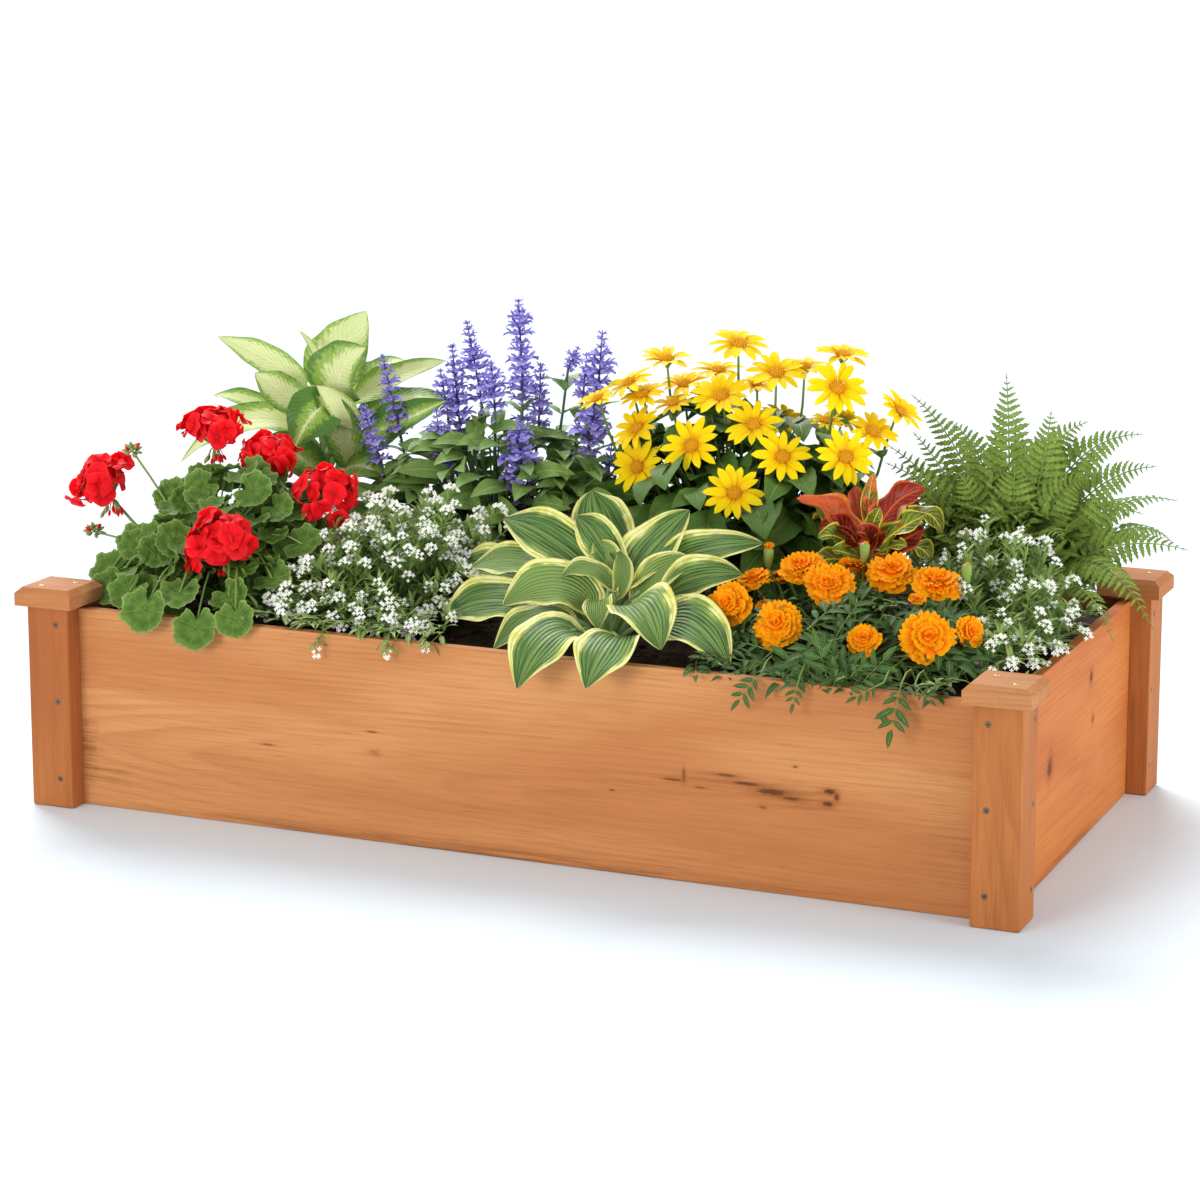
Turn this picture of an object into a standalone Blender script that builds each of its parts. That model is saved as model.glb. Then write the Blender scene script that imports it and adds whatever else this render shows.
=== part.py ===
"""Planted raised bed: a screwed wooden box of four boards and four capped posts, filled with soil,
with ten plants in it.

Metres, +Z up. The origin is on the ground under the middle of the bed, +X runs along its length
and the front faces -Y. The box stands open on the ground. Every plant is one closed body, from its
root ball in the soil to the tips of its leaves and flowers.
"""
import math

import bmesh
import bpy
from mathutils import Matrix, Vector

# --- Box ---
BED_LENGTH = 1.220          # over the outer faces of the posts
BED_WIDTH = 0.610
GAP = 0.0003                # between any two pieces that meet

POST_SIDE = 0.055
POST_HEIGHT = 0.245
POST_WALL = 0.026           # wood left between a post's outer faces and its rebate
BOARD_THICKNESS = 0.013
BOARD_HEIGHT = 0.240
EDGE_EASE = 0.0012          # sanded edges of boards and posts

CAP_SIDE = 0.076
CAP_THICKNESS = 0.022
CAP_CHAMFER = 0.007

# --- Screws ---
SCREW_SIDES = 8
SCREW_HEAD_RADIUS = 0.0036
SCREW_HEAD_DEPTH = 0.0024
SCREW_SHANK_RADIUS = 0.0016
BOARD_SCREW_LENGTH = 0.036
CAP_SCREW_LENGTH = 0.0262
FRONT_SCREW_INSET = 0.039   # from the outer corner of the post, on its front or back face
END_SCREW_INSET = 0.043     # the same on its end face, where the board starts further in
BOARD_SCREW_HEIGHTS = (0.2237, 0.130, 0.0355)
CAP_SCREW_OFFSET = 0.0145   # from the cap's centre along X and Y

# --- Soil ---
SOIL_TOP = 0.215
ROOT_DEPTH = 0.060
ROOT_TAPER = 0.75
ROOT_SIDES = 10

# --- Derived ---
BOARD_OUTER_X = BED_LENGTH / 2 - POST_WALL
BOARD_OUTER_Y = BED_WIDTH / 2 - POST_WALL
BOARD_INNER_X = BOARD_OUTER_X - BOARD_THICKNESS
BOARD_INNER_Y = BOARD_OUTER_Y - BOARD_THICKNESS
POST_X = BED_LENGTH / 2 - POST_SIDE / 2
POST_Y = BED_WIDTH / 2 - POST_SIDE / 2

# name of the corner, and which way it lies from the middle of the bed
CORNERS = (
    ("front_left", -1, -1),
    ("front_right", 1, -1),
    ("back_left", -1, 1),
    ("back_right", 1, 1),
)


# ---------------------------------------------------------------------------------------------
# Scene, materials and modifiers
# ---------------------------------------------------------------------------------------------
def clear_scene():
    for obj in list(bpy.data.objects):
        bpy.data.objects.remove(obj, do_unlink=True)


def material(name, colour, roughness, metallic=0.0):
    mat = bpy.data.materials.new(name)
    mat.use_nodes = True
    shader = mat.node_tree.nodes["Principled BSDF"]
    shader.inputs["Base Color"].default_value = (*colour, 1.0)
    shader.inputs["Roughness"].default_value = roughness
    shader.inputs["Metallic"].default_value = metallic
    return mat


def add_object(name, mesh, mat=None):
    obj = bpy.data.objects.new(name, mesh)
    bpy.context.scene.collection.objects.link(obj)
    if mat and not mesh.materials:
        mesh.materials.append(mat)
    return obj


def mesh_from(bm, name):
    bmesh.ops.recalc_face_normals(bm, faces=bm.faces[:])
    mesh = bpy.data.meshes.new(name)
    bm.to_mesh(mesh)
    bm.free()
    return mesh


def guide(name, mesh):
    """A cutter, or a shape that is joined to a plant: never a piece of its own."""
    obj = add_object(name, mesh)
    obj.display_type = 'WIRE'
    obj.hide_render = True
    return obj


def combine(obj, other, operation, self_union=False):
    modifier = obj.modifiers.new(other.name, 'BOOLEAN')
    modifier.operation = operation
    modifier.object = other
    modifier.solver = 'EXACT'
    modifier.use_self = self_union


def ease_edges(obj, width=EDGE_EASE):
    modifier = obj.modifiers.new("eased edges", 'BEVEL')
    modifier.width = width
    modifier.segments = 1
    modifier.limit_method = 'ANGLE'
    modifier.use_clamp_overlap = True


# ---------------------------------------------------------------------------------------------
# Plain shapes
# ---------------------------------------------------------------------------------------------
def add_block(bm, low, high):
    low, high = Vector(low), Vector(high)
    centre, size = (low + high) / 2, high - low
    matrix = Matrix.Translation(centre) @ Matrix.Diagonal((*size, 1.0))
    bmesh.ops.create_cube(bm, size=1.0, matrix=matrix)


def add_skin(bm, rings):
    """Close the skin over a row of rings, each a list of the same number of points."""
    rows = [[bm.verts.new(point) for point in ring] for ring in rings]
    count = len(rows[0])
    for row, following in zip(rows, rows[1:]):
        for i in range(count):
            j = (i + 1) % count
            bm.faces.new((row[i], row[j], following[j], following[i]))
    bm.faces.new(rows[0][::-1])
    bm.faces.new(rows[-1])


def circle(centre, radius, side, up, sides):
    turns = (2 * math.pi * (i + 0.5) / sides for i in range(sides))
    return [centre + side * radius * math.cos(a) + up * radius * math.sin(a) for a in turns]


def add_turned(bm, profile, matrix, sides):
    """Turn (radius, height) pairs about Z, then place the result."""
    axes = Vector((1, 0, 0)), Vector((0, 1, 0))
    rings = [circle(Vector((0, 0, z)), radius, *axes, sides) for radius, z in profile]
    add_skin(bm, [[matrix @ point for point in ring] for ring in rings])


# ---------------------------------------------------------------------------------------------
# Screws: each lies along -Z from its head's flat top, in its own frame
# ---------------------------------------------------------------------------------------------
def screw_profile(length, clearance=0.0):
    head = SCREW_HEAD_RADIUS + clearance
    shank = SCREW_SHANK_RADIUS + clearance
    depth = SCREW_HEAD_DEPTH + clearance
    end = length + clearance
    point = end - 4 * SCREW_SHANK_RADIUS
    profile = [(head, 0.0), (shank, -depth), (shank, -point), (0.3 * shank, -end)]
    if clearance:
        profile.insert(0, (head, SCREW_HEAD_DEPTH))
    return profile


def inward(direction, place):
    """The frame of a screw whose head is at place and that is driven along direction."""
    turn = Vector((0, 0, -1)).rotation_difference(Vector(direction)).to_matrix().to_4x4()
    return Matrix.Translation(place) @ turn


def board_screw_frames(sx, sy):
    """The six board screws of the post at the corner (sx, sy), the front or back face first."""
    half_x, half_y = BED_LENGTH / 2, BED_WIDTH / 2
    frames = []
    for z in BOARD_SCREW_HEIGHTS:
        frames.append(inward((0, -sy, 0), (sx * (half_x - FRONT_SCREW_INSET), sy * half_y, z)))
    for z in BOARD_SCREW_HEIGHTS:
        frames.append(inward((-sx, 0, 0), (sx * half_x, sy * (half_y - END_SCREW_INSET), z)))
    return frames


def cap_screw_frames(sx, sy):
    """Two screws on the diagonal from the bed's outer corner to its inside."""
    top = POST_HEIGHT + GAP + CAP_THICKNESS
    frames = []
    for step in (-CAP_SCREW_OFFSET, CAP_SCREW_OFFSET):
        frames.append(inward((0, 0, -1), (sx * (POST_X + step), sy * (POST_Y + step), top)))
    return frames


def screw_cutter(name, frames, length):
    bm = bmesh.new()
    for frame in frames:
        add_turned(bm, screw_profile(length, GAP), frame, SCREW_SIDES)
    return guide(name, mesh_from(bm, name))


def screw_mesh(name, length, mat):
    bm = bmesh.new()
    add_turned(bm, screw_profile(length), Matrix.Identity(4), SCREW_SIDES)
    mesh = mesh_from(bm, name)
    mesh.materials.append(mat)
    return mesh


# ---------------------------------------------------------------------------------------------
# Wood
# ---------------------------------------------------------------------------------------------
def make_post(corner, sx, sy, mat):
    """A square post, rebated on its inner corner as high as the boards."""
    bm = bmesh.new()
    half = POST_SIDE / 2
    add_block(bm, (-half, -half, 0), (half, half, POST_HEIGHT))
    post = add_object(f"{corner}_post", mesh_from(bm, f"{corner}_post"), mat)
    post.location = (sx * POST_X, sy * POST_Y, 0)
    ease_edges(post)

    past = 0.010
    near = Vector((sx * (BOARD_OUTER_X + GAP), sy * (BOARD_OUTER_Y + GAP), -past))
    far = Vector((sx * (POST_X - half - past), sy * (POST_Y - half - past), BOARD_HEIGHT + GAP))
    low = [min(a, b) for a, b in zip(near, far)]
    high = [max(a, b) for a, b in zip(near, far)]
    bm = bmesh.new()
    add_block(bm, low, high)
    combine(post, guide(f"{corner}_rebate", mesh_from(bm, f"{corner}_rebate")), 'DIFFERENCE')
    return post


def make_cap(corner, sx, sy, mat):
    """A square plate with its top edges chamfered."""
    bm = bmesh.new()
    full, inner = CAP_SIDE / 2, CAP_SIDE / 2 - CAP_CHAMFER
    levels = ((full, 0), (full, CAP_THICKNESS - CAP_CHAMFER), (inner, CAP_THICKNESS))
    square = ((-1, -1), (1, -1), (1, 1), (-1, 1))
    add_skin(bm, [[Vector((x * r, y * r, z)) for x, y in square] for r, z in levels])
    cap = add_object(f"{corner}_cap", mesh_from(bm, f"{corner}_cap"), mat)
    cap.location = (sx * POST_X, sy * POST_Y, POST_HEIGHT + GAP)
    return cap


def make_board(name, low, high, mat):
    bm = bmesh.new()
    add_block(bm, low, high)
    board = add_object(name, mesh_from(bm, name), mat)
    ease_edges(board, EDGE_EASE / 2)
    return board


def make_boards(mat):
    """Front and back run the full length into the rebates; left and right fit between them."""
    x, inner_x = BOARD_OUTER_X, BOARD_INNER_X
    y, inner_y = BOARD_OUTER_Y, BOARD_INNER_Y
    end_y, top = inner_y - GAP, BOARD_HEIGHT
    return {
        "front": make_board("front_board", (-x, -y, 0), (x, -inner_y, top), mat),
        "back": make_board("back_board", (-x, inner_y, 0), (x, y, top), mat),
        "left": make_board("left_board", (-x, -end_y, 0), (-inner_x, end_y, top), mat),
        "right": make_board("right_board", (inner_x, -end_y, 0), (x, end_y, top), mat),
    }


def make_box(mats):
    board_screw = screw_mesh("board_screw", BOARD_SCREW_LENGTH, mats["steel"])
    cap_screw = screw_mesh("cap_screw", CAP_SCREW_LENGTH, mats["brass"])
    boards = make_boards(mats["board"])
    for corner, sx, sy in CORNERS:
        post = make_post(corner, sx, sy, mats["post"])
        cap = make_cap(corner, sx, sy, mats["post"])

        frames = board_screw_frames(sx, sy)
        holes = screw_cutter(f"{corner}_board_screw_holes", frames, BOARD_SCREW_LENGTH)
        for piece in (post, boards["front" if sy < 0 else "back"], boards["left" if sx < 0 else "right"]):
            combine(piece, holes, 'DIFFERENCE')
        for number, frame in enumerate(frames, 1):
            add_object(f"{corner}_board_screw_{number}", board_screw).matrix_world = frame

        frames = cap_screw_frames(sx, sy)
        holes = screw_cutter(f"{corner}_cap_screw_holes", frames, CAP_SCREW_LENGTH)
        for piece in (post, cap):
            combine(piece, holes, 'DIFFERENCE')
        for number, frame in enumerate(frames, 1):
            add_object(f"{corner}_cap_screw_{number}", cap_screw).matrix_world = frame


# ---------------------------------------------------------------------------------------------
# Plants
# ---------------------------------------------------------------------------------------------
class Plant:
    """One plant: closed shapes that overlap each other and that a union joins into one body."""

    def __init__(self, name, base, root_radius, colour, roughness=0.6):
        self.name = name
        self.base = Vector((*base, SOIL_TOP))
        self.root_radius = root_radius
        self.material = material(name, colour, roughness)
        self.bm = bmesh.new()

    def mound(self, centre, radii):
        """A rounded mass of foliage or blossom."""
        matrix = Matrix.Translation(centre) @ Matrix.Diagonal((*radii, 1.0))
        bmesh.ops.create_icosphere(self.bm, subdivisions=2, radius=1.0, matrix=matrix)

    def stem(self, points, radius=0.0025, sides=4):
        """A tube through the points, which keeps its thickness."""
        points = [Vector(point) for point in points]
        rings = []
        for i, point in enumerate(points):
            along = (points[min(i + 1, len(points) - 1)] - points[max(i - 1, 0)]).normalized()
            side = along.orthogonal().normalized()
            rings.append(circle(point, radius, side, along.cross(side), sides))
        add_skin(self.bm, rings)

    def blade(self, crown, spread, middle, tip, half_width):
        """A leaf that leaves the crown at a distance of spread from its centre."""
        crown = Vector(crown)
        outward = Vector(middle) - crown
        outward.z *= 0.3
        self.leaf(crown + outward.normalized() * spread, middle, tip, half_width)

    def leaf(self, start, middle, tip, half_width, thickness=0.004):
        """A blade that bows through its middle, lens-like across, and comes to a blunt point."""
        start, middle, tip = Vector(start), Vector(middle), Vector(tip)
        pull = middle * 2 - (start + tip) / 2
        rings = []
        for t, width in ((0.0, 0.15), (0.25, 0.75), (0.5, 1.0), (0.78, 0.72), (1.0, 0.06)):
            point = start * (1 - t) ** 2 + pull * 2 * t * (1 - t) + tip * t ** 2
            along = ((pull - start) * (1 - t) + (tip - pull) * t).normalized()
            side = along.cross(Vector((0, 0, 1)))
            side = side.normalized() if side.length > 0.2 else Vector((1, 0, 0))
            up = side.cross(along).normalized()
            across, deep = side * half_width * width, up * thickness / 2 * (0.4 + 0.6 * width)
            rings.append([point + across, point + deep, point - across, point - deep])
        add_skin(self.bm, rings)

    def head(self, centre, radius, depth, facing=(0, 0, 1), sides=8):
        """A round flower head, thick in the middle, whose face looks along facing."""
        centre, facing = Vector(centre), Vector(facing).normalized()
        side = facing.orthogonal().normalized()
        up = facing.cross(side)
        shape = ((0.35, -0.5), (1.0, 0.0), (0.35, 0.5))
        add_skin(self.bm, [circle(centre + facing * depth * h, radius * r, side, up, sides) for r, h in shape])

    def spike(self, foot, top, radius):
        """A flower spike, slender at both ends."""
        foot, top = Vector(foot), Vector(top)
        along = (top - foot).normalized()
        side = along.orthogonal().normalized()
        up = along.cross(side)
        shape = ((0.0, 0.4), (0.15, 1.0), (0.6, 0.85), (1.0, 0.2))
        add_skin(self.bm, [circle(foot.lerp(top, t), radius * r, side, up, 6) for t, r in shape])

    def root_profile(self, clearance=0.0):
        """The root ball, from above the soil down to its foot."""
        above = 0.018
        wide = self.root_radius + clearance
        return [(wide, above), (wide, 0.0), (wide * ROOT_TAPER, -ROOT_DEPTH - clearance)]

    def root_guide(self, label, clearance=0.0):
        bm = bmesh.new()
        add_turned(bm, self.root_profile(clearance), Matrix.Translation(self.base), ROOT_SIDES)
        return guide(f"{self.name}_{label}", mesh_from(bm, f"{self.name}_{label}"))

    def finish(self):
        bmesh.ops.triangulate(self.bm, faces=self.bm.faces[:])
        obj = add_object(self.name, mesh_from(self.bm, self.name), self.material)
        combine(obj, self.root_guide("root_ball"), 'UNION', self_union=True)
        return obj


def make_geranium():
    plant = Plant("geranium", (-0.485, -0.115), 0.045, (0.10, 0.22, 0.05))
    plant.mound((-0.462, -0.125, 0.283), (0.122, 0.105, 0.064))
    crown = (-0.478, -0.115, 0.300)
    flowers = (
        (-0.615, -0.120, 0.365), (-0.494, -0.060, 0.432), (-0.424, -0.050, 0.400),
        (-0.316, -0.080, 0.369), (-0.426, -0.170, 0.330),
    )
    for x, y, z in flowers:
        plant.stem((crown, (x, y, z)), 0.003)
        plant.mound((x, y, z), (0.038, 0.038, 0.030))
    for bud in ((-0.584, -0.100, 0.397), (-0.615, -0.150, 0.301)):
        plant.stem((crown, bud))
        plant.head(bud, 0.011, 0.018, sides=6)
    plant.leaf((-0.46, -0.16, 0.300), (-0.470, -0.262, 0.287), (-0.476, -0.312, 0.225), 0.034)
    plant.leaf((-0.41, -0.16, 0.300), (-0.390, -0.260, 0.285), (-0.385, -0.309, 0.222), 0.032)
    plant.leaf((-0.37, -0.16, 0.295), (-0.350, -0.245, 0.283), (-0.345, -0.290, 0.252), 0.028)
    plant.leaf((-0.50, -0.12, 0.290), (-0.560, -0.150, 0.290), (-0.600, -0.165, 0.272), 0.030)
    return plant


def make_dieffenbachia():
    plant = Plant("dieffenbachia", (-0.455, 0.150), 0.045, (0.42, 0.55, 0.22), 0.4)
    heart = (-0.455, 0.150, 0.435)
    plant.stem(((-0.455, 0.150, 0.200), (-0.452, 0.152, 0.330), (-0.455, 0.150, 0.420)), 0.012, 7)
    plant.mound((-0.455, 0.150, 0.410), (0.030, 0.028, 0.050))
    blades = (
        ((-0.440, 0.165, 0.505), (-0.398, 0.170, 0.541), 0.026),
        ((-0.415, 0.118, 0.480), (-0.375, 0.108, 0.492), 0.030),
        ((-0.545, 0.146, 0.487), (-0.603, 0.150, 0.504), 0.020),
        ((-0.500, 0.118, 0.458), (-0.538, 0.108, 0.467), 0.020),
        ((-0.437, 0.080, 0.440), (-0.427, 0.045, 0.385), 0.030),
        ((-0.400, 0.112, 0.455), (-0.370, 0.096, 0.436), 0.018),
        ((-0.360, 0.182, 0.466), (-0.301, 0.200, 0.482), 0.020),
    )
    for middle, tip, half_width in blades:
        plant.blade(heart, 0.018, middle, tip, half_width)
    low = (-0.455, 0.150, 0.385)
    lower_blades = (
        ((-0.550, 0.150, 0.430), (-0.617, 0.160, 0.425), 0.013),
        ((-0.560, 0.112, 0.392), (-0.633, 0.100, 0.344), 0.020),
        ((-0.395, 0.105, 0.408), (-0.353, 0.080, 0.369), 0.015),
        ((-0.370, 0.190, 0.420), (-0.310, 0.212, 0.443), 0.018),
        ((-0.500, 0.215, 0.440), (-0.540, 0.265, 0.440), 0.022),
        ((-0.430, 0.220, 0.450), (-0.400, 0.270, 0.455), 0.022),
    )
    for middle, tip, half_width in lower_blades:
        plant.blade(low, 0.018, middle, tip, half_width)
    return plant


def make_salvia():
    plant = Plant("salvia", (-0.205, 0.140), 0.045, (0.17, 0.13, 0.50))
    plant.mound((-0.200, 0.135, 0.293), (0.115, 0.085, 0.072))
    spikes = (
        ((-0.170, 0.150, 0.460), (-0.175, 0.150, 0.575), 0.014),
        ((-0.236, 0.175, 0.440), (-0.256, 0.175, 0.540), 0.012),
        ((-0.199, 0.125, 0.430), (-0.204, 0.125, 0.499), 0.011),
        ((-0.256, 0.150, 0.399), (-0.267, 0.150, 0.512), 0.013),
        ((-0.320, 0.130, 0.400), (-0.336, 0.130, 0.498), 0.011),
        ((-0.320, 0.090, 0.366), (-0.345, 0.085, 0.438), 0.011),
        ((-0.253, 0.095, 0.340), (-0.266, 0.095, 0.438), 0.013),
        ((-0.157, 0.180, 0.415), (-0.154, 0.185, 0.493), 0.011),
        ((-0.147, 0.085, 0.345), (-0.147, 0.085, 0.433), 0.012),
        ((-0.130, 0.205, 0.485), (-0.115, 0.205, 0.511), 0.007),
        ((-0.072, 0.165, 0.461), (-0.066, 0.165, 0.540), 0.012),
        ((-0.105, 0.195, 0.450), (-0.100, 0.195, 0.506), 0.011),
        ((-0.082, 0.135, 0.379), (-0.072, 0.135, 0.470), 0.011),
    )
    for foot, top, radius in spikes:
        start = Vector((-0.200, 0.135, 0.290)).lerp(Vector((foot[0], foot[1], 0.300)), 0.6)
        plant.stem((start, Vector(foot).lerp(Vector(top), 0.25)))
        plant.spike(foot, top, radius)
    return plant


def make_heliopsis():
    plant = Plant("heliopsis", (0.130, 0.125), 0.050, (0.85, 0.60, 0.03))
    plant.mound((0.130, 0.125, 0.318), (0.140, 0.085, 0.092))
    heads = (
        ((0.121, 0.140, 0.539), (0.2, -0.5, 1.0)), ((0.024, 0.150, 0.512), (-0.3, -0.1, 1.0)),
        ((0.076, 0.190, 0.496), (0.0, -0.5, 1.0)), ((-0.014, 0.140, 0.486), (-0.4, -0.2, 1.0)),
        ((0.177, 0.120, 0.510), (0.2, -0.7, 1.0)), ((0.188, 0.190, 0.507), (0.2, 0.2, 1.0)),
        ((0.247, 0.160, 0.530), (0.4, -0.2, 1.0)), ((0.258, 0.110, 0.499), (0.4, -1.0, 0.6)),
        ((0.107, 0.120, 0.478), (0.1, -1.0, 0.8)), ((0.160, 0.090, 0.451), (0.2, -1.0, 0.7)),
        ((0.290, 0.120, 0.447), (0.5, -0.5, 1.0)), ((0.318, 0.135, 0.472), (1.0, -0.3, 0.6)),
        ((0.088, 0.070, 0.423), (0.2, -1.0, 0.5)), ((0.005, 0.100, 0.434), (-0.2, -0.7, 0.9)),
        ((0.014, 0.080, 0.390), (-0.1, -1.0, 0.5)), ((0.204, 0.070, 0.418), (0.3, -1.0, 0.4)),
        ((0.270, 0.080, 0.424), (0.5, -1.0, 0.4)), ((0.149, 0.045, 0.375), (0.2, -1.0, 0.6)),
        ((-0.022, 0.095, 0.466), (-0.4, -0.6, 1.0)),
    )
    for centre, facing in heads:
        x, y, z = centre
        start = Vector((0.130, 0.125, 0.330)).lerp(Vector((x, y, 0.350)), 0.5)
        plant.stem((start, centre), 0.0025)
        plant.head(centre, 0.037, 0.012, facing)
    return plant


def make_fern():
    plant = Plant("fern", (0.455, 0.160), 0.045, (0.16, 0.30, 0.09))
    plant.mound((0.455, 0.160, 0.245), (0.045, 0.045, 0.045))
    crown = (0.455, 0.160, 0.255)
    fronds = (
        ((0.455, 0.172, 0.400), (0.445, 0.175, 0.516), 0.034),
        ((0.492, 0.155, 0.385), (0.506, 0.148, 0.480), 0.034),
        ((0.525, 0.185, 0.385), (0.606, 0.190, 0.452), 0.034),
        ((0.550, 0.150, 0.360), (0.639, 0.122, 0.428), 0.034),
        ((0.570, 0.135, 0.325), (0.684, 0.100, 0.337), 0.032),
        ((0.565, 0.105, 0.315), (0.661, 0.040, 0.256), 0.030),
        ((0.390, 0.215, 0.385), (0.305, 0.250, 0.470), 0.032),
        ((0.375, 0.215, 0.340), (0.280, 0.245, 0.405), 0.030),
        ((0.470, 0.230, 0.380), (0.480, 0.300, 0.425), 0.034),
        ((0.410, 0.235, 0.350), (0.365, 0.300, 0.390), 0.032),
        ((0.545, 0.220, 0.345), (0.630, 0.268, 0.360), 0.032),
        ((0.440, 0.120, 0.320), (0.432, 0.085, 0.360), 0.028),
    )
    for middle, tip, half_width in fronds:
        plant.blade(crown, 0.026, middle, tip, half_width)
    return plant


def make_croton():
    plant = Plant("croton", (0.318, 0.030), 0.030, (0.40, 0.08, 0.05), 0.4)
    plant.stem(((0.318, 0.030, 0.200), (0.318, 0.030, 0.320)), 0.008, 7)
    plant.mound((0.318, 0.028, 0.325), (0.028, 0.022, 0.026))
    heart = (0.318, 0.028, 0.328)
    blades = (
        ((0.285, 0.018, 0.355), (0.250, 0.008, 0.372), 0.020),
        ((0.318, 0.034, 0.365), (0.312, 0.040, 0.395), 0.018),
        ((0.350, 0.036, 0.365), (0.383, 0.045, 0.384), 0.018),
        ((0.360, 0.015, 0.350), (0.397, 0.012, 0.367), 0.018),
        ((0.332, -0.006, 0.345), (0.342, -0.030, 0.337), 0.017),
        ((0.290, -0.004, 0.345), (0.272, -0.026, 0.342), 0.017),
    )
    for middle, tip, half_width in blades:
        plant.blade(heart, 0.012, middle, tip, half_width)
    return plant


def make_hosta():
    plant = Plant("hosta", (0.065, -0.150), 0.045, (0.25, 0.38, 0.18), 0.5)
    plant.mound((0.065, -0.150, 0.245), (0.045, 0.040, 0.042))
    crown = (0.065, -0.148, 0.255)
    blades = (
        ((0.040, -0.100, 0.345), (0.014, -0.062, 0.385), 0.032),
        ((-0.005, -0.125, 0.320), (-0.079, -0.100, 0.353), 0.030),
        ((0.105, -0.105, 0.335), (0.139, -0.072, 0.373), 0.030),
        ((0.155, -0.105, 0.320), (0.228, -0.088, 0.350), 0.030),
        ((0.145, -0.150, 0.300), (0.203, -0.145, 0.318), 0.028),
        ((0.170, -0.195, 0.290), (0.252, -0.252, 0.246), 0.032),
        ((0.125, -0.205, 0.300), (0.180, -0.262, 0.258), 0.030),
        ((0.105, -0.242, 0.295), (0.125, -0.329, 0.227), 0.034),
        ((0.050, -0.240, 0.295), (0.036, -0.329, 0.216), 0.034),
        ((0.015, -0.185, 0.300), (-0.028, -0.215, 0.277), 0.026),
        ((-0.030, -0.175, 0.280), (-0.111, -0.208, 0.252), 0.032),
        ((-0.025, -0.145, 0.300), (-0.109, -0.135, 0.300), 0.030),
        ((0.060, -0.130, 0.330), (0.070, -0.125, 0.370), 0.020),
    )
    for middle, tip, half_width in blades:
        plant.blade(crown, 0.024, middle, tip, half_width)
    return plant


def make_marigold():
    plant = Plant("marigold", (0.345, -0.140), 0.045, (0.90, 0.32, 0.02))
    plant.mound((0.345, -0.145, 0.264), (0.100, 0.082, 0.044))
    crown = (0.350, -0.145, 0.265)
    heads = (
        (0.234, -0.190, 0.301), (0.300, -0.210, 0.290), (0.286, -0.090, 0.330),
        (0.330, -0.130, 0.320), (0.245, -0.122, 0.314), (0.404, -0.220, 0.286),
        (0.470, -0.210, 0.289), (0.387, -0.080, 0.329), (0.440, -0.095, 0.325),
        (0.436, -0.140, 0.311), (0.512, -0.185, 0.289),
    )
    for centre in heads:
        plant.stem((Vector(crown).lerp(Vector(centre), 0.3), centre), 0.003)
        plant.head(centre, 0.025, 0.026)
    plant.blade(crown, 0.05, (0.430, -0.245, 0.285), (0.482, -0.312, 0.205), 0.022)
    plant.blade(crown, 0.05, (0.305, -0.240, 0.285), (0.300, -0.312, 0.215), 0.030)
    plant.blade(crown, 0.05, (0.370, -0.230, 0.285), (0.375, -0.285, 0.250), 0.022)
    return plant


def make_alyssum_left():
    plant = Plant("alyssum_left", (-0.240, -0.120), 0.040, (0.62, 0.68, 0.55))
    plant.mound((-0.240, -0.118, 0.275), (0.088, 0.100, 0.050))
    plant.mound((-0.230, -0.075, 0.305), (0.060, 0.045, 0.042))
    plant.mound((-0.165, -0.048, 0.290), (0.060, 0.040, 0.036))
    plant.leaf((-0.290, -0.16, 0.290), (-0.300, -0.240, 0.283), (-0.300, -0.300, 0.225), 0.026)
    plant.leaf((-0.240, -0.16, 0.290), (-0.215, -0.245, 0.285), (-0.205, -0.308, 0.220), 0.030)
    plant.leaf((-0.200, -0.16, 0.290), (-0.155, -0.235, 0.285), (-0.135, -0.300, 0.228), 0.026)
    return plant


def make_alyssum_right():
    plant = Plant("alyssum_right", (0.505, -0.015), 0.035, (0.62, 0.68, 0.55))
    plant.mound((0.498, -0.012, 0.272), (0.078, 0.105, 0.050))
    plant.mound((0.470, 0.040, 0.305), (0.045, 0.035, 0.045))
    plant.leaf((0.520, -0.030, 0.285), (0.540, -0.110, 0.280), (0.548, -0.165, 0.255), 0.030)
    plant.leaf((0.520, 0.010, 0.295), (0.575, 0.030, 0.295), (0.608, 0.045, 0.265), 0.026)
    plant.leaf((0.500, -0.020, 0.290), (0.560, -0.060, 0.290), (0.602, -0.080, 0.255), 0.026)
    return plant


def make_plants():
    return (
        make_geranium(), make_dieffenbachia(), make_salvia(), make_heliopsis(), make_fern(),
        make_croton(), make_hosta(), make_marigold(), make_alyssum_left(), make_alyssum_right(),
    )


def make_soil(plants, mat):
    """The soil fills the box from the ground up and has a hole for each plant's root ball."""
    x, y = BOARD_INNER_X - GAP, BOARD_INNER_Y - GAP
    bm = bmesh.new()
    add_block(bm, (-x, -y, 0), (x, y, SOIL_TOP))
    soil = add_object("soil", mesh_from(bm, "soil"), mat)
    for plant in plants:
        combine(soil, plant.root_guide("planting_hole", GAP), 'DIFFERENCE')
    return soil


def main():
    clear_scene()
    mats = {
        "board": material("board_wood", (0.60, 0.27, 0.11), 0.6),
        "post": material("post_wood", (0.50, 0.19, 0.07), 0.6),
        "steel": material("screw_steel", (0.45, 0.45, 0.46), 0.35, 1.0),
        "brass": material("screw_brass", (0.62, 0.50, 0.28), 0.35, 1.0),
        "soil": material("soil", (0.035, 0.022, 0.015), 0.9),
    }
    make_box(mats)
    plants = make_plants()
    make_soil(plants, mats["soil"])
    for plant in plants:
        plant.finish()


main()
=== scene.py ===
"""Planted raised bed: the stained wooden box, its soil and its ten plants, leaf by leaf.

Everything is in the bed's own frame: metres, +Z up, the origin on the ground under the middle of the
box, +X along its length and the front towards -Y. The points of the plants' meshes carry a tone, which
their finishes turn into younger or older, paler or deeper colours.
"""

import math
import random

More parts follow.
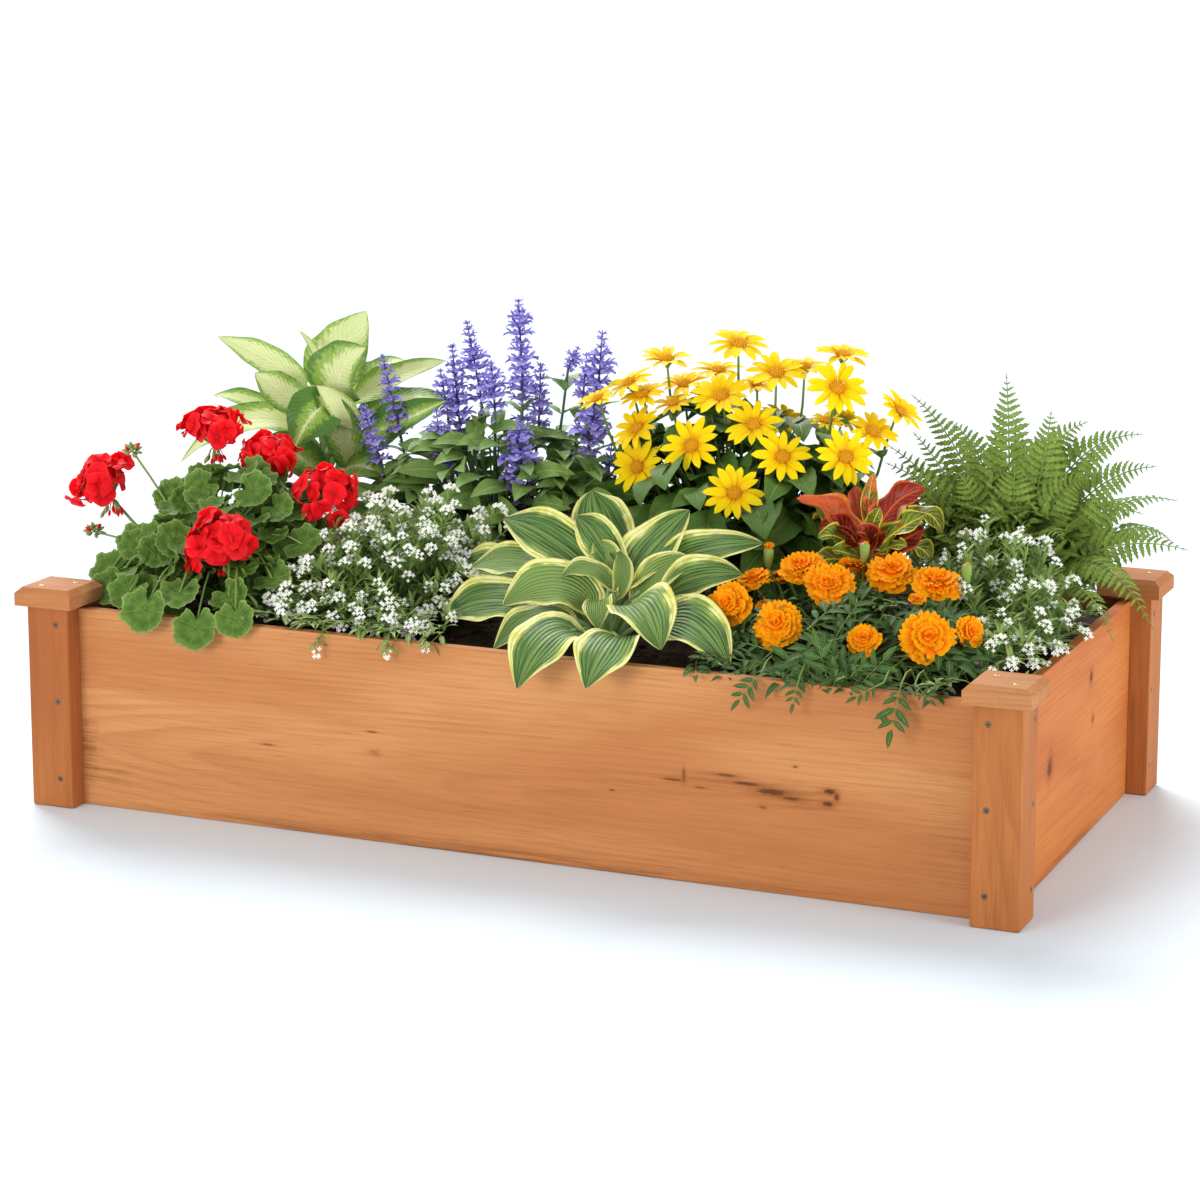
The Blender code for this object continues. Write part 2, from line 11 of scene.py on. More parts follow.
import bpy
from mathutils import Matrix, Quaternion, Vector, noise


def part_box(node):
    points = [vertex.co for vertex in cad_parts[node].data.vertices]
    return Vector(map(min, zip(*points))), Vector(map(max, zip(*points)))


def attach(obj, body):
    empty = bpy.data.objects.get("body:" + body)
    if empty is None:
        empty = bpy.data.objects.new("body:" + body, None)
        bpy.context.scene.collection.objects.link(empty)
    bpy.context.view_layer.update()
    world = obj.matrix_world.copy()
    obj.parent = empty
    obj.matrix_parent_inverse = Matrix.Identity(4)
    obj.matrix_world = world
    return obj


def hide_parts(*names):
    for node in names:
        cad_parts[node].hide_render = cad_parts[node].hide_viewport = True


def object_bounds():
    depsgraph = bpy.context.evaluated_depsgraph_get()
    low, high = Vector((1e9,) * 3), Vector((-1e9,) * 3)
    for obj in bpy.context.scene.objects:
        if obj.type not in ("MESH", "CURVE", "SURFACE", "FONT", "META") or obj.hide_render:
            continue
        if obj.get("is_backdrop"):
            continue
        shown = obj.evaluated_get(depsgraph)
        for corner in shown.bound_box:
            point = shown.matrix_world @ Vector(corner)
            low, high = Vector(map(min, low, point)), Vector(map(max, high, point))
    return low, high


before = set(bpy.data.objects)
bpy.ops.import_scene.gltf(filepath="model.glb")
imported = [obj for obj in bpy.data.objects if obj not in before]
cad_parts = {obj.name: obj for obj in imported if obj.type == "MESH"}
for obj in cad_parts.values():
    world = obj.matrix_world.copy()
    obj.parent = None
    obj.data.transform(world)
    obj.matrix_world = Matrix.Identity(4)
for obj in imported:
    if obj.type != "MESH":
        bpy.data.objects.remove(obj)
CAD_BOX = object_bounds()

UP = Vector((0, 0, 1))
AHEAD = Vector((0, 1, 0))           # the way that a small shape grows, one unit long
ORIGIN = Vector((0, 0, 0))
FULL_TURN = 2 * math.pi
GOLDEN_ANGLE = math.pi * (3 - math.sqrt(5))
SOIL_TOP = 0.215
CRUMBS = 1100
BEHIND = -0.008                     # further back than this, a leaf doesn't hide a flower's face


# == Materials: a small vocabulary for writing node trees ==
class Nodes:
    """A node tree that is written node by node."""

    def put(self, socket, value):
        value = getattr(value, "socket", value)
        if isinstance(value, bpy.types.NodeSocket):
            self.tree.links.new(value, socket)
        elif isinstance(value, (tuple, list)):
            socket.default_value = (*value, 1.0)[:len(socket.default_value)]
        else:
            socket.default_value = value

    def add(self, kind, inputs=(), **settings):
        node = self.tree.nodes.new(kind)
        for key, value in settings.items():
            setattr(node, key, value)
        for key, value in dict(inputs).items():
            self.put(node.inputs[key], value)
        return node


class Value:
    """What a shader node gives. Reckoning with it, by + - * / and abs(), adds the next nodes."""

    def __init__(self, finish, socket):
        self.finish, self.socket = finish, socket

    def math(self, operation, other=0.0):
        return self.finish.node("ShaderNodeMath", {0: self, 1: other}, operation=operation)

    def __add__(self, other):
        return self.math('ADD', other)

    def __sub__(self, other):
        return self.math('SUBTRACT', other)

    def __mul__(self, other):
        return self.math('MULTIPLY', other)

    def __truediv__(self, other):
        return self.math('DIVIDE', other)

    def __abs__(self):
        return self.math('ABSOLUTE')

    def step(self, low, high):
        """0 below low, 1 above high, smooth between them."""
        inputs = {"Value": self, "From Min": low, "From Max": high}
        return self.finish.node("ShaderNodeMapRange", inputs, "Result", interpolation_type='SMOOTHSTEP')

    def fade(self, low, high):
        """1 below low, 0 above high, smooth between them."""
        inputs = {0: 1.0, 1: self.step(low, high)}
        return self.finish.node("ShaderNodeMath", inputs, operation='SUBTRACT')

    def noise(self, scale, detail=3.0, roughness=0.55, distortion=0.0):
        inputs = {"Vector": self, "Scale": scale, "Detail": detail,
                  "Roughness": roughness, "Distortion": distortion}
        return self.finish.node("ShaderNodeTexNoise", inputs, "Fac")

    def split(self):
        """The x, y and z of a place."""
        outputs = self.finish.add("ShaderNodeSeparateXYZ", {0: self}).outputs
        return [Value(self.finish, output) for output in outputs]


class Finish(Nodes):
    """One material."""

    def __init__(self, name, roughness, specular=0.5, metallic=0.0, soft=None):
        """soft is the weight, radius and scale of the light that spreads under the surface."""
        self.mat = bpy.data.materials.new(name)
        self.mat.use_nodes = True
        self.tree = self.mat.node_tree
        self.shader = self.tree.nodes["Principled BSDF"].inputs
        self.coords = self.tree.nodes.new("ShaderNodeTexCoord").outputs
        values = {"Roughness": roughness, "Specular IOR Level": specular, "Metallic": metallic}
        if soft:
            values.update(zip(("Subsurface Weight", "Subsurface Radius", "Subsurface Scale"), soft))
        for label, value in values.items():
            self.put(self.shader[label], value)

    def node(self, kind, inputs, output=0, **settings):
        return Value(self, self.add(kind, inputs, **settings).outputs[output])

    def mix(self, factor, a, b):
        return self.node("ShaderNodeMix", {0: factor, 6: a, 7: b}, 2, data_type='RGBA')

    def place(self, scale=(1, 1, 1), offset=(0, 0, 0), source="Object"):
        inputs = {"Vector": self.coords[source], "Scale": scale, "Location": offset}
        return self.node("ShaderNodeMapping", inputs, "Vector")

    def tone(self):
        return self.node("ShaderNodeAttribute", {}, "Fac", attribute_name="tone")

    def blade_map(self):
        """A leaf's own map: 0 at the midrib to 1 at either edge, and 0 at its foot to 1 at its tip."""
        x, y, _ = Value(self, self.coords["UV"]).split()
        return abs(x * 2 - 1), y

    def disc_map(self):
        """A round leaf's or flower's own map: 0 in the middle to 1 at the rim, and the turn in radians."""
        x, y, _ = Value(self, self.coords["UV"]).split()
        x, y = x * 2 - 1, y * 2 - 1
        return (x * x + y * y).math('SQRT'), y.math('ARCTAN2', x)

    def done(self, tint, relief=None, strength=0.5, depth=0.001):
        """The material, once it has its colour and its relief."""
        self.put(self.shader["Base Color"], tint)
        if relief is not None:
            inputs = {"Height": relief, "Strength": strength, "Distance": depth}
            self.put(self.shader["Normal"], self.node("ShaderNodeBump", inputs, "Normal"))
        return self.mat


def scaled(colour, factor):
    """The colour, darker where the factor is under 1."""
    return tuple(c * factor for c in colour)


# The second colour darkens the stain marks and also the bands of painted shade along the boards' feet.
KNOT_HEART, STAIN_AND_SHADE = (0.11, 0.03, 0.008), (0.2, 0.062, 0.013)


def stained_wood(name, pale, deep, along, pith, spacing, lean, knots=(), stains_and_shade=()):
    """Orange-brown stained softwood. Its growth rings, spacing apart, lie round a pith that passes near
    the point given, along X, Y or Z; lean tilts it, so that the rings draw arches on a flat face. Each
    knot, each stain mark and each band of painted shade is (centre, reach along the grain, reach across it,
    strength)."""
    finish = Finish(name, 0.62, 0.14)
    index = "XYZ".index(along)

    def drawn_out(amount):
        scale = [1.0] * 3
        scale[index] = amount
        return finish.place(scale, pith)

    drift, fibres = drawn_out(0.16), drawn_out(0.03)
    broad, patchy = drift.noise(11, 3, 0.55, 0.5), drift.noise(23, 2, 0.5)
    fibre, pores = fibres.noise(380, 4, 0.65), fibres.noise(760, 2, 0.5)

    parts = finish.place(offset=[-c for c in pith]).split()
    length, a, b = (parts[(index + k) % 3] for k in range(3))
    warp = (drift.noise(5, 3, 0.5) - 0.5) * 0.05
    a = a + length * lean + warp
    b = b + warp * 0.6
    radius = (a * a + b * b).math('SQRT') + fibre * 0.0022
    ring = (radius / spacing).math('FRACT')
    late = ring.step(0.25, 0.9) - ring.step(0.9, 1.0)

    darker = tuple(c * f for c, f in zip(deep, (0.6, 0.5, 0.42)))
    tint = finish.mix(broad.step(0.32, 0.7), pale, deep)
    tint = finish.mix(late * (patchy.step(0.25, 0.8) * 0.27), tint, darker)
    tint = finish.mix(fibre.step(0.4, 0.75) * 0.3, tint, darker)
    tint = finish.mix(pores.step(0.64, 0.8) * 0.22, tint, scaled(darker, 0.4))

    def ragged_distance(centre, reach_along, reach_across):
        scale = [1 / reach_across] * 3
        scale[index] = 1 / reach_along
        local = finish.place(scale, [-c * s for c, s in zip(centre, scale)])
        away = finish.node("ShaderNodeVectorMath", {0: local}, "Value", operation='LENGTH')
        return away + (local.noise(2.4, 4, 0.65) - 0.5) * 1.5

    for *mark, strength in knots:
        away = ragged_distance(*mark)
        tint = finish.mix(away.fade(0.8, 2.4) * (0.45 * strength), tint, darker)
        tint = finish.mix(away.fade(0.45, 1.15) * strength, tint, KNOT_HEART)
    # A stain mark is the wood's own colour; a band of painted shade along a board's foot stands for the shade
    # where the board meets the floor.
    for *mark, strength in stains_and_shade:
        soft = ragged_distance(*mark).fade(0.1, 1.1) * strength
        tint = finish.mix(soft * fibre.step(0.25, 0.7), tint, STAIN_AND_SHADE)
    return finish.done(tint, fibre * 0.6 - late * 0.3, 0.3, 0.0005)


def soil_finish():
    finish = Finish("soil", 0.95, 0.15)
    coords = finish.place()
    coarse, fine = coords.noise(55, 4, 0.65), coords.noise(420, 3, 0.7)
    tint = finish.mix(coarse.step(0.35, 0.7), (0.016, 0.009, 0.006), (0.07, 0.04, 0.024))
    tint = finish.mix(fine.step(0.62, 0.78) * 0.5, tint, (0.16, 0.1, 0.065))
    return finish.done(tint, coarse + fine * 0.5, 0.8, 0.004)


def metal_finish(name, colour, roughness):
    finish = Finish(name, roughness, metallic=0.6)
    speck = finish.place().noise(900, 3, 0.6)
    return finish.done(finish.mix(speck, scaled(colour, 0.55), colour), speck, 0.15, 0.0002)


LEAF_GLOW = ((0.004, 0.008, 0.002), 0.3)


def leaf_finish(name, young, old, rib=None, veins=7, slant=0.5, gloss=0.45, soft=0.12, shine=0.22,
                shaded=0.0):
    """A plain green leaf: a paler midrib, side veins that slant towards the edge, which may be
    shaded, and leaves that differ from young to old by their tone. A high tone also serves as painted shade, as in
    the heart of the fern."""
    finish = Finish(name, gloss, shine, soft=(soft, *LEAF_GLOW))
    across, along = finish.blade_map()
    rib = rib or tuple(min(1.0, c * 1.9 + 0.02) for c in young)
    mottle = finish.place().noise(120)
    tint = finish.mix((finish.tone() + mottle * 0.35).step(0.15, 1.1), young, old)
    if shaded:
        tint = finish.mix(across.step(0.25, 1.0) * shaded, tint, old)
    wave = abs((along * veins - across * (slant * veins * 0.5)).math('FRACT') - 0.5)
    side_vein = wave.fade(0.0, 0.1) * across.fade(0.6, 1.0)
    midrib = across.fade(0.03, 0.11)
    tint = finish.mix(side_vein * 0.35, tint, rib)
    tint = finish.mix(midrib * 0.75, tint, rib)
    return finish.done(tint, mottle * 0.3 - (side_vein * 0.5 + midrib), 0.5, 0.0012)


def petal_finish(name, foot, middle, tip, streak, gloss, soft, glow=(0.01, 0.004, 0.002)):
    """A petal, coloured from its foot to its tip, with fine streaks along it."""
    finish = Finish(name, gloss, 0.1, soft=(soft, glow, 0.3))
    across, along = finish.blade_map()
    tint = finish.mix(along.step(0.0, 0.45), foot, middle)
    tint = finish.mix(along.step(0.45, 1.0), tint, tip)
    lines = abs((across * 16).math('SINE'))
    dark = lines * streak + (finish.tone() - 0.5) * 0.45
    tint = finish.mix(dark.step(0.0, 1.0), tint, scaled(foot, 0.45))
    return finish.done(tint, lines, 0.25, 0.0004)


def stem_finish(name, low, high, gloss=0.5):
    finish = Finish(name, gloss, 0.4)
    coords = finish.place()
    shade = finish.tone() + coords.noise(60) * 0.4
    return finish.done(finish.mix(shade.step(0.2, 1.1), low, high), coords.noise(900, 2), 0.2, 0.0003)


def hosta_finish():
    """Blue-green leaves with cream-yellow margins and sunken veins that follow the edge, their grooves darkened as
    painted shade.
    """
    finish = Finish("hosta_leaf", 0.45, 0.22)
    across, _ = finish.blade_map()
    coords = finish.place()
    ragged, broad = coords.noise(70, 3, 0.6), coords.noise(24, 2, 0.5)
    streaks = finish.place((26, 1.6, 1), source="UV").noise(1, 3, 0.6)
    edge = across + (streaks - 0.5) * 0.72 + (broad - 0.5) * 0.5
    green = finish.mix(streaks.step(0.35, 0.65), (0.038, 0.104, 0.024), (0.205, 0.34, 0.084))
    pale_green = finish.mix(0.5, green, (0.42, 0.52, 0.12))
    green = finish.mix(finish.tone().step(0.2, 1.0), green, (0.25, 0.38, 0.1))
    margin = finish.mix(ragged.step(0.3, 0.7), (0.76, 0.74, 0.16), (0.92, 0.9, 0.4))
    tint = finish.mix(edge.step(0.62, 0.7), green, pale_green)
    tint = finish.mix(edge.step(0.75, 0.81), tint, margin)
    lines = abs((across * (math.pi * 7)).math('SINE'))
    # The sunken veins are darkened: painted shade in the grooves.
    tint = finish.mix(lines.fade(0.0, 0.35) * 0.34, tint, (0.03, 0.076, 0.014))
    midrib = across.fade(0.015, 0.06)
    tint = finish.mix(midrib * 0.6, tint, (0.42, 0.52, 0.18))
    return finish.done(tint, lines - midrib, 0.8, 0.0018)


def dieffenbachia_finish():
    """Cream blades flushed with green along their margins and between the side veins."""
    finish = Finish("dieffenbachia_leaf", 0.4, 0.25)
    across, along = finish.blade_map()
    vein = abs(((along * 13 - across * 4.5) * math.pi).math('SINE'))
    blotch = finish.place((3, 9, 1), source="UV").noise(2.2, 4, 0.65, 0.6)
    reach = across + (blotch - 0.5) * 0.9 + (finish.tone() - 0.5) * 1.1 - vein * 0.1
    cream = finish.mix(blotch, (0.62, 0.71, 0.25), (0.82, 0.85, 0.48))
    green = finish.mix(blotch, (0.045, 0.14, 0.02), (0.11, 0.25, 0.04))
    tint = finish.mix(reach.step(0.34, 0.72), cream, (0.26, 0.43, 0.065))
    tint = finish.mix(reach.step(0.76, 1.04), tint, green)
    tint = finish.mix(vein.fade(0.0, 0.3) * 0.3, tint, (0.2, 0.36, 0.07))
    midrib = across.fade(0.02, 0.08)
    tint = finish.mix(midrib * 0.7, tint, (0.8, 0.84, 0.46))
    return finish.done(tint, vein * 0.5 - midrib, 0.5, 0.0014)


def croton_finish():
    """Leathery leaves that run from green and yellow when young to orange and deep red."""
    finish = Finish("croton_leaf", 0.38, 0.25)
    across, along = finish.blade_map()
    blotch = finish.place().noise(95, 3, 0.6)
    wave = abs((along * 9 - across * 2.4).math('FRACT') - 0.5)
    vein = wave.fade(0.02, 0.13) * across.fade(0.55, 0.95)
    midrib, rim = across.fade(0.03, 0.11), across.step(0.8, 0.92) * 0.85
    shade = finish.tone() + (blotch - 0.5) * 0.5
    green = finish.mix(blotch.step(0.35, 0.65), (0.05, 0.11, 0.012), (0.15, 0.23, 0.028))
    orange = finish.mix(blotch.step(0.35, 0.65), (0.42, 0.05, 0.016), (0.68, 0.15, 0.03))
    red = finish.mix(blotch.step(0.3, 0.7), (0.105, 0.006, 0.008), (0.34, 0.022, 0.018))
    lit = finish.mix(shade.step(0.2, 0.5), (0.84, 0.66, 0.06), (0.66, 0.13, 0.03))
    tint = finish.mix(shade.step(0.2, 0.38), green, orange)
    tint = finish.mix(shade.step(0.42, 0.66), tint, red)
    tint = finish.mix(vein * 0.6, tint, lit)
    tint = finish.mix(midrib.math('MAXIMUM', rim), tint, lit)
    return finish.done(tint, vein * -0.6 - midrib, 0.5, 0.0012)


def geranium_leaf_finish():
    """Round, soft green leaves with a darker zone inside the rim and veins that fan out."""
    finish = Finish("geranium_leaf", 0.62, 0.15, soft=(0.1, *LEAF_GLOW))
    out, turn = finish.disc_map()
    mottle = finish.place().noise(150)
    shade = finish.tone() + mottle * 0.4
    tint = finish.mix(shade.step(0.05, 1.1), (0.25, 0.4, 0.068), (0.028, 0.08, 0.01))
    zone = out.step(0.38, 0.56) * out.fade(0.62, 0.8)
    tint = finish.mix(zone * 0.4, tint, (0.035, 0.085, 0.012))
    fan = abs((turn * 3.5).math('COSINE'))
    tint = finish.mix(fan.fade(0.0, 0.16) * 0.4, tint, (0.26, 0.41, 0.07))
    tint = finish.mix(out.step(0.88, 0.98) * 0.3, tint, (0.42, 0.56, 0.16))
    return finish.done(tint, fan * 0.6 + mottle * 0.5, 0.8, 0.0022)


def salvia_finish():
    """Violet-blue florets: a dark purple foot, and paler lavender ones at the tips of the spikes."""
    finish = Finish("salvia_floret", 0.6, 0.12, soft=(0.15, (0.003, 0.003, 0.008), 0.3))
    _, along = finish.blade_map()
    tint = finish.mix(finish.tone().step(0.2, 1.0), (0.27, 0.2, 0.74), (0.58, 0.53, 0.95))
    tint = finish.mix(along.step(0.15, 0.6), (0.15, 0.095, 0.42), tint)
    return finish.done(finish.mix(along.step(0.7, 1.0) * 0.4, tint, (0.66, 0.64, 0.95)))


def disc_finish():
    """The raised golden-brown middle of a daisy."""
    finish = Finish("heliopsis_disc", 0.7, 0.2)
    shade = finish.tone() + (finish.place().noise(600, 2) - 0.5) * 0.5
    return finish.done(finish.mix(shade.step(0.1, 0.9), (0.6, 0.24, 0.008), (1.0, 0.56, 0.015)))


def alyssum_finish():
    """White petals round a small yellow-green eye."""
    finish = Finish("alyssum_petal", 0.7, 0.2, soft=(0.12, (0.006, 0.006, 0.005), 0.5))
    out, _ = finish.disc_map()
    white = finish.mix(finish.tone(), (0.95, 0.95, 0.84), (1.0, 1.0, 0.95))
    return finish.done(finish.mix(out.step(0.1, 0.26), (0.5, 0.52, 0.12), white))


# == Meshes: thin closed sheets, tubes and domes, each with its own map and tone ==
def bezier(start, middle, tip, rows):
    """Points and directions along the bow from start through middle to tip."""
    start, middle, tip = Vector(start), Vector(middle), Vector(tip)
    pull = middle * 2 - (start + tip) / 2
    points, ways = [], []
    for i in range(rows):
        t = i / (rows - 1)
        points.append(start * (1 - t) ** 2 + pull * (2 * t * (1 - t)) + tip * t * t)
        ways.append(((pull - start) * (1 - t) + (tip - pull) * t).normalized())
    return points, ways


def outline(rise, fall, least=0.02):
    """A leaf's half width from foot to tip: it swells as t**rise and closes as (1 - t)**fall."""
    peak = rise / (rise + fall)
    top = peak ** rise * (1 - peak) ** fall
    return lambda t: max(least, (t ** rise) * ((1 - t) ** fall) / top)


def spoke(turn, z=0.0):
    """A unit vector at this turn about Z, raised or lowered to z."""
    return Vector((math.cos(turn), math.sin(turn), z))


def swung(vector, axis, turn):
    """A copy of the vector, turned about the axis."""
    vector = vector.copy()
    vector.rotate(Quaternion(axis, turn))
    return vector


def rings(foot, way, profile, tall=1.0, wide=1.0):
    """The rings of a round body, from its profile of heights along the way and radii."""
    return [(foot + way * tall * height, way, wide * radius) for height, radius in profile]


class Sketch:
    """Collects closed shapes into one mesh."""

    def __init__(self):
        self.points, self.faces, self.map, self.tones, self.borders = [], [], [], [], set()

    def add(self, points, faces, uvs, tone, border=()):
        """border lists the corners round an edge where the shading breaks."""
        start = len(self.points)
        self.borders |= {frozenset((start + a, start + b)) for a, b in zip(border, border[1:] + border[:1])}
        self.points += [tuple(p) for p in points]
        self.faces += [tuple(start + i for i in face) for face in faces]
        self.map += list(uvs)
        self.tones += [tone] * len(points)

    def sheet(self, grid, thickness, tone=0.5):
        """A closed sheet over rows of points, from foot to tip; its two sides share the border."""
        rows, cols = len(grid), len(grid[0])
        points = [point for row in grid for point in row]
        uvs = [(j / (cols - 1), i / (rows - 1)) for i in range(rows) for j in range(cols)]
        under = {}
        for i in range(1, rows - 1):
            for j in range(1, cols - 1):
                normal = (grid[i][j + 1] - grid[i][j - 1]).cross(grid[i + 1][j] - grid[i - 1][j])
                under[i, j] = len(points)
                points.append(grid[i][j] - normal.normalized() * thickness)
                uvs.append(uvs[i * cols + j])
        faces = []
        for i in range(rows - 1):
            for j in range(cols - 1):
                ring = ((i, j), (i, j + 1), (i + 1, j + 1), (i + 1, j))
                faces.append([a * cols + b for a, b in ring])
                faces.append([under.get(key, key[0] * cols + key[1]) for key in reversed(ring)])
        border = [*range(cols), *(i * cols + cols - 1 for i in range(1, rows)),
                  *((rows - 1) * cols + j for j in range(cols - 2, -1, -1)),
                  *(i * cols for i in range(rows - 2, 0, -1))]
        self.add(points, faces, uvs, tone, border)

    def blade(self, start, middle, tip, half_width, shape, rows, cols, cup, wave=0.0, waves=1.0,
              thickness=0.012, tone=0.5, facing=UP, lobe=0.0):
        """A leaf or petal along the bow from start through middle to tip, facing up or as told. cup
        lifts its edges, wave ripples them waves times, and lobe draws the corners of its foot back."""
        grid = []
        for i, (point, way) in enumerate(zip(*bezier(start, middle, tip, rows))):
            t = i / (rows - 1)
            side = way.cross(facing).normalized()
            lift = side.cross(way)
            width = half_width * shape(t)
            back = way * lobe * half_width * max(0.0, 1 - 3 * t) ** 2
            row = []
            for j in range(cols):
                s = 2 * j / (cols - 1) - 1
                edge = abs(s) ** 1.5
                ripple = wave * math.sin(FULL_TURN * waves * t + 1.3 * s) * edge
                row.append(point + side * width * s + lift * width * (cup * s * s + ripple) - back * edge)
            grid.append(row)
        self.sheet(grid, thickness, tone)

    def disc(self, rim, ring_count, segments, height, thickness):
        """A round sheet one unit in radius, in the XY plane about the origin. rim(turn) scales its
        radius and height(out, turn) lifts it."""
        points = [Vector((0, 0, height(0, 0) - drop)) for drop in (0.0, thickness)]
        uvs = [(0.5, 0.5), (0.5, 0.5)]
        top, bottom = {}, {}
        for k in range(1, ring_count + 1):
            for j in range(segments):
                turn, out = FULL_TURN * j / segments, k / ring_count
                reach = (1 + (rim(turn) - 1) * out ** 3) * out
                place = Vector((reach * math.cos(turn), reach * math.sin(turn), height(out, turn)))
                for side, drop in ((top, 0.0), (bottom, thickness)):
                    if k == ring_count and side is bottom:
                        side[k, j] = top[k, j]
                        continue
                    side[k, j] = len(points)
                    points.append(place - UP * drop)
                    uvs.append((0.5 + 0.5 * out * math.cos(turn), 0.5 + 0.5 * out * math.sin(turn)))
        faces = []
        for j in range(segments):
            n = (j + 1) % segments
            faces += [(0, top[1, j], top[1, n]), (1, bottom[1, n], bottom[1, j])]
            for k in range(1, ring_count):
                faces.append((top[k, j], top[k + 1, j], top[k + 1, n], top[k, n]))
                faces.append((bottom[k, n], bottom[k + 1, n], bottom[k + 1, j], bottom[k, j]))
        self.add(points, faces, uvs, 0.5, [top[ring_count, j] for j in range(segments)])
        return self

    def turned(self, body, sides, tone=0.5):
        """A closed round body: each ring is (centre, direction, radius), from foot to top."""
        points, uvs, faces = [], [], []
        for i, (centre, way, radius) in enumerate(body):
            side = way.orthogonal().normalized()
            other = way.cross(side)
            for j in range(sides):
                turn = FULL_TURN * j / sides
                points.append(centre + (side * math.cos(turn) + other * math.sin(turn)) * radius)
                uvs.append((j / sides, i / (len(body) - 1)))
        for foot in range(0, len(points) - sides, sides):
            for j in range(sides):
                n = (j + 1) % sides
                faces.append((foot + j, foot + n, foot + sides + n, foot + sides + j))
        faces += [tuple(reversed(range(sides))), tuple(range(len(points) - sides, len(points)))]
        self.add(points, faces, uvs, tone)
        return self

    def mesh(self, name):
        mesh = bpy.data.meshes.new(name)
        mesh.from_pydata(self.points, [], self.faces)
        layer = mesh.uv_layers.new(name="UVMap")
        corners = [0] * len(mesh.loops)
        mesh.loops.foreach_get("vertex_index", corners)
        layer.data.foreach_set("uv", [value for vertex in corners for value in self.map[vertex]])
        mark(mesh, "tone", self.tones)
        if self.borders:
            sharp = mesh.attributes.new("sharp_edge", 'BOOLEAN', 'EDGE')
            sharp.data.foreach_set("value", [frozenset(edge.vertices) in self.borders for edge in mesh.edges])
        mesh.shade_smooth()
        return mesh


def mark(mesh, name, values):
    """Give every point of a mesh a number, or a vector where there are three to a point."""
    vector = len(values) > len(mesh.vertices)
    attribute = mesh.attributes.new(name, 'FLOAT_VECTOR' if vector else 'FLOAT', 'POINT')
    attribute.data.foreach_set("vector" if vector else "value", values)


# == Geometry Nodes: what is scattered, and what grows along a path ==
class Tree(Nodes):
    """One geometry tree with named inputs."""

    def __init__(self, name, **inputs):
        self.tree = bpy.data.node_groups.new(name, "GeometryNodeTree")
        for label, kind in {"Geometry": 'Geometry', **inputs, "Material": 'Material'}.items():
            label = label.replace("_", " ")
            self.tree.interface.new_socket(label, in_out='INPUT', socket_type=f"NodeSocket{kind}")
        self.tree.interface.new_socket("Geometry", in_out='OUTPUT', socket_type='NodeSocketGeometry')
        self.given = self.tree.nodes.new("NodeGroupInput").outputs
        self.end = self.tree.nodes.new("NodeGroupOutput")

    def node(self, kind, inputs=(), output=0, **settings):
        return self.add(kind, inputs, **settings).outputs[output]

    def named(self, name, kind='FLOAT'):
        return self.node("GeometryNodeInputNamedAttribute", {"Name": name}, data_type=kind)

    def finish(self, geometry):
        """Realize what was instanced, give it the material and close the tree."""
        whole = self.node("GeometryNodeRealizeInstances", {0: geometry})
        inputs = {"Geometry": whole, "Material": self.given["Material"]}
        self.put(self.end.inputs[0], self.node("GeometryNodeSetMaterial", inputs))
        return self.tree


def scatter_tree():
    """A copy of Unit on every point, turned and sized as the point says, its tone varied."""
    tree = Tree("scatter", Unit='Object', Tone_Spread='Float', Seed='Int')
    spread = tree.given["Tone Spread"]
    inputs = {"Object": tree.given["Unit"], "As Instance": True}
    unit = tree.node("GeometryNodeObjectInfo", inputs, "Geometry")
    turn = tree.node("FunctionNodeEulerToRotation", {0: tree.named("turn", 'FLOAT_VECTOR')})
    copies = tree.node("GeometryNodeInstanceOnPoints", {
        "Points": tree.given["Geometry"], "Instance": unit, "Rotation": turn,
        "Scale": tree.named("size", 'FLOAT_VECTOR')})
    low = tree.node("ShaderNodeMath", {0: spread, 1: -1.0}, operation='MULTIPLY')
    stray_tone = tree.node("FunctionNodeRandomValue", {2: low, 3: spread, "Seed": tree.given["Seed"]}, 1,
                           data_type='FLOAT')
    tone = tree.node("ShaderNodeMath", {0: tree.named("shade"), 1: stray_tone}, operation='ADD')
    inputs = {"Geometry": copies, "Name": "tone", "Value": tone}
    toned = tree.node("GeometryNodeStoreNamedAttribute", inputs, data_type='FLOAT', domain='INSTANCE')
    return tree.finish(toned)


def stem_tree():
    """A round stem along every chain of edges, smoothed, as thick as its points say."""
    tree = Tree("stems", Steps='Int', Sides='Int')
    curve = tree.node("GeometryNodeMeshToCurve", {0: tree.given["Geometry"]})
    smooth = tree.node("GeometryNodeCurveSplineType", {0: curve}, spline_type='CATMULL_ROM')
    points = tree.node("GeometryNodeResampleCurve", {"Curve": smooth, "Count": tree.given["Steps"]})
    sides = {"Resolution": tree.given["Sides"], "Radius": 1.0}
    profile = tree.node("GeometryNodeCurvePrimitiveCircle", sides)
    tube = tree.node("GeometryNodeCurveToMesh", {
        "Curve": points, "Profile Curve": profile, "Scale": tree.named("thick"), "Fill Caps": True})
    return tree.finish(tree.node("GeometryNodeSetShadeSmooth", {0: tube}))


SCATTER, STEMS = scatter_tree(), stem_tree()


def link(name, data):
    """A new object in the scene."""
    obj = bpy.data.objects.new(name, data)
    bpy.context.scene.collection.objects.link(obj)
    return obj


def grow(name, base_mesh, group, values):
    """Run a tree on a base mesh and keep the plain mesh that it makes."""
    base = link(name + "_base", base_mesh)
    modifier = base.modifiers.new("tree", 'NODES')
    modifier.node_group = group
    for item in group.interface.items_tree:
        if item.in_out == 'INPUT' and item.name in values:
            modifier[item.identifier] = values[item.name]
    graph = bpy.context.evaluated_depsgraph_get()
    mesh = bpy.data.meshes.new_from_object(base.evaluated_get(graph))
    base.modifiers.clear()
    bpy.data.objects.remove(base, do_unlink=True)
    mesh.name = name
    return mesh


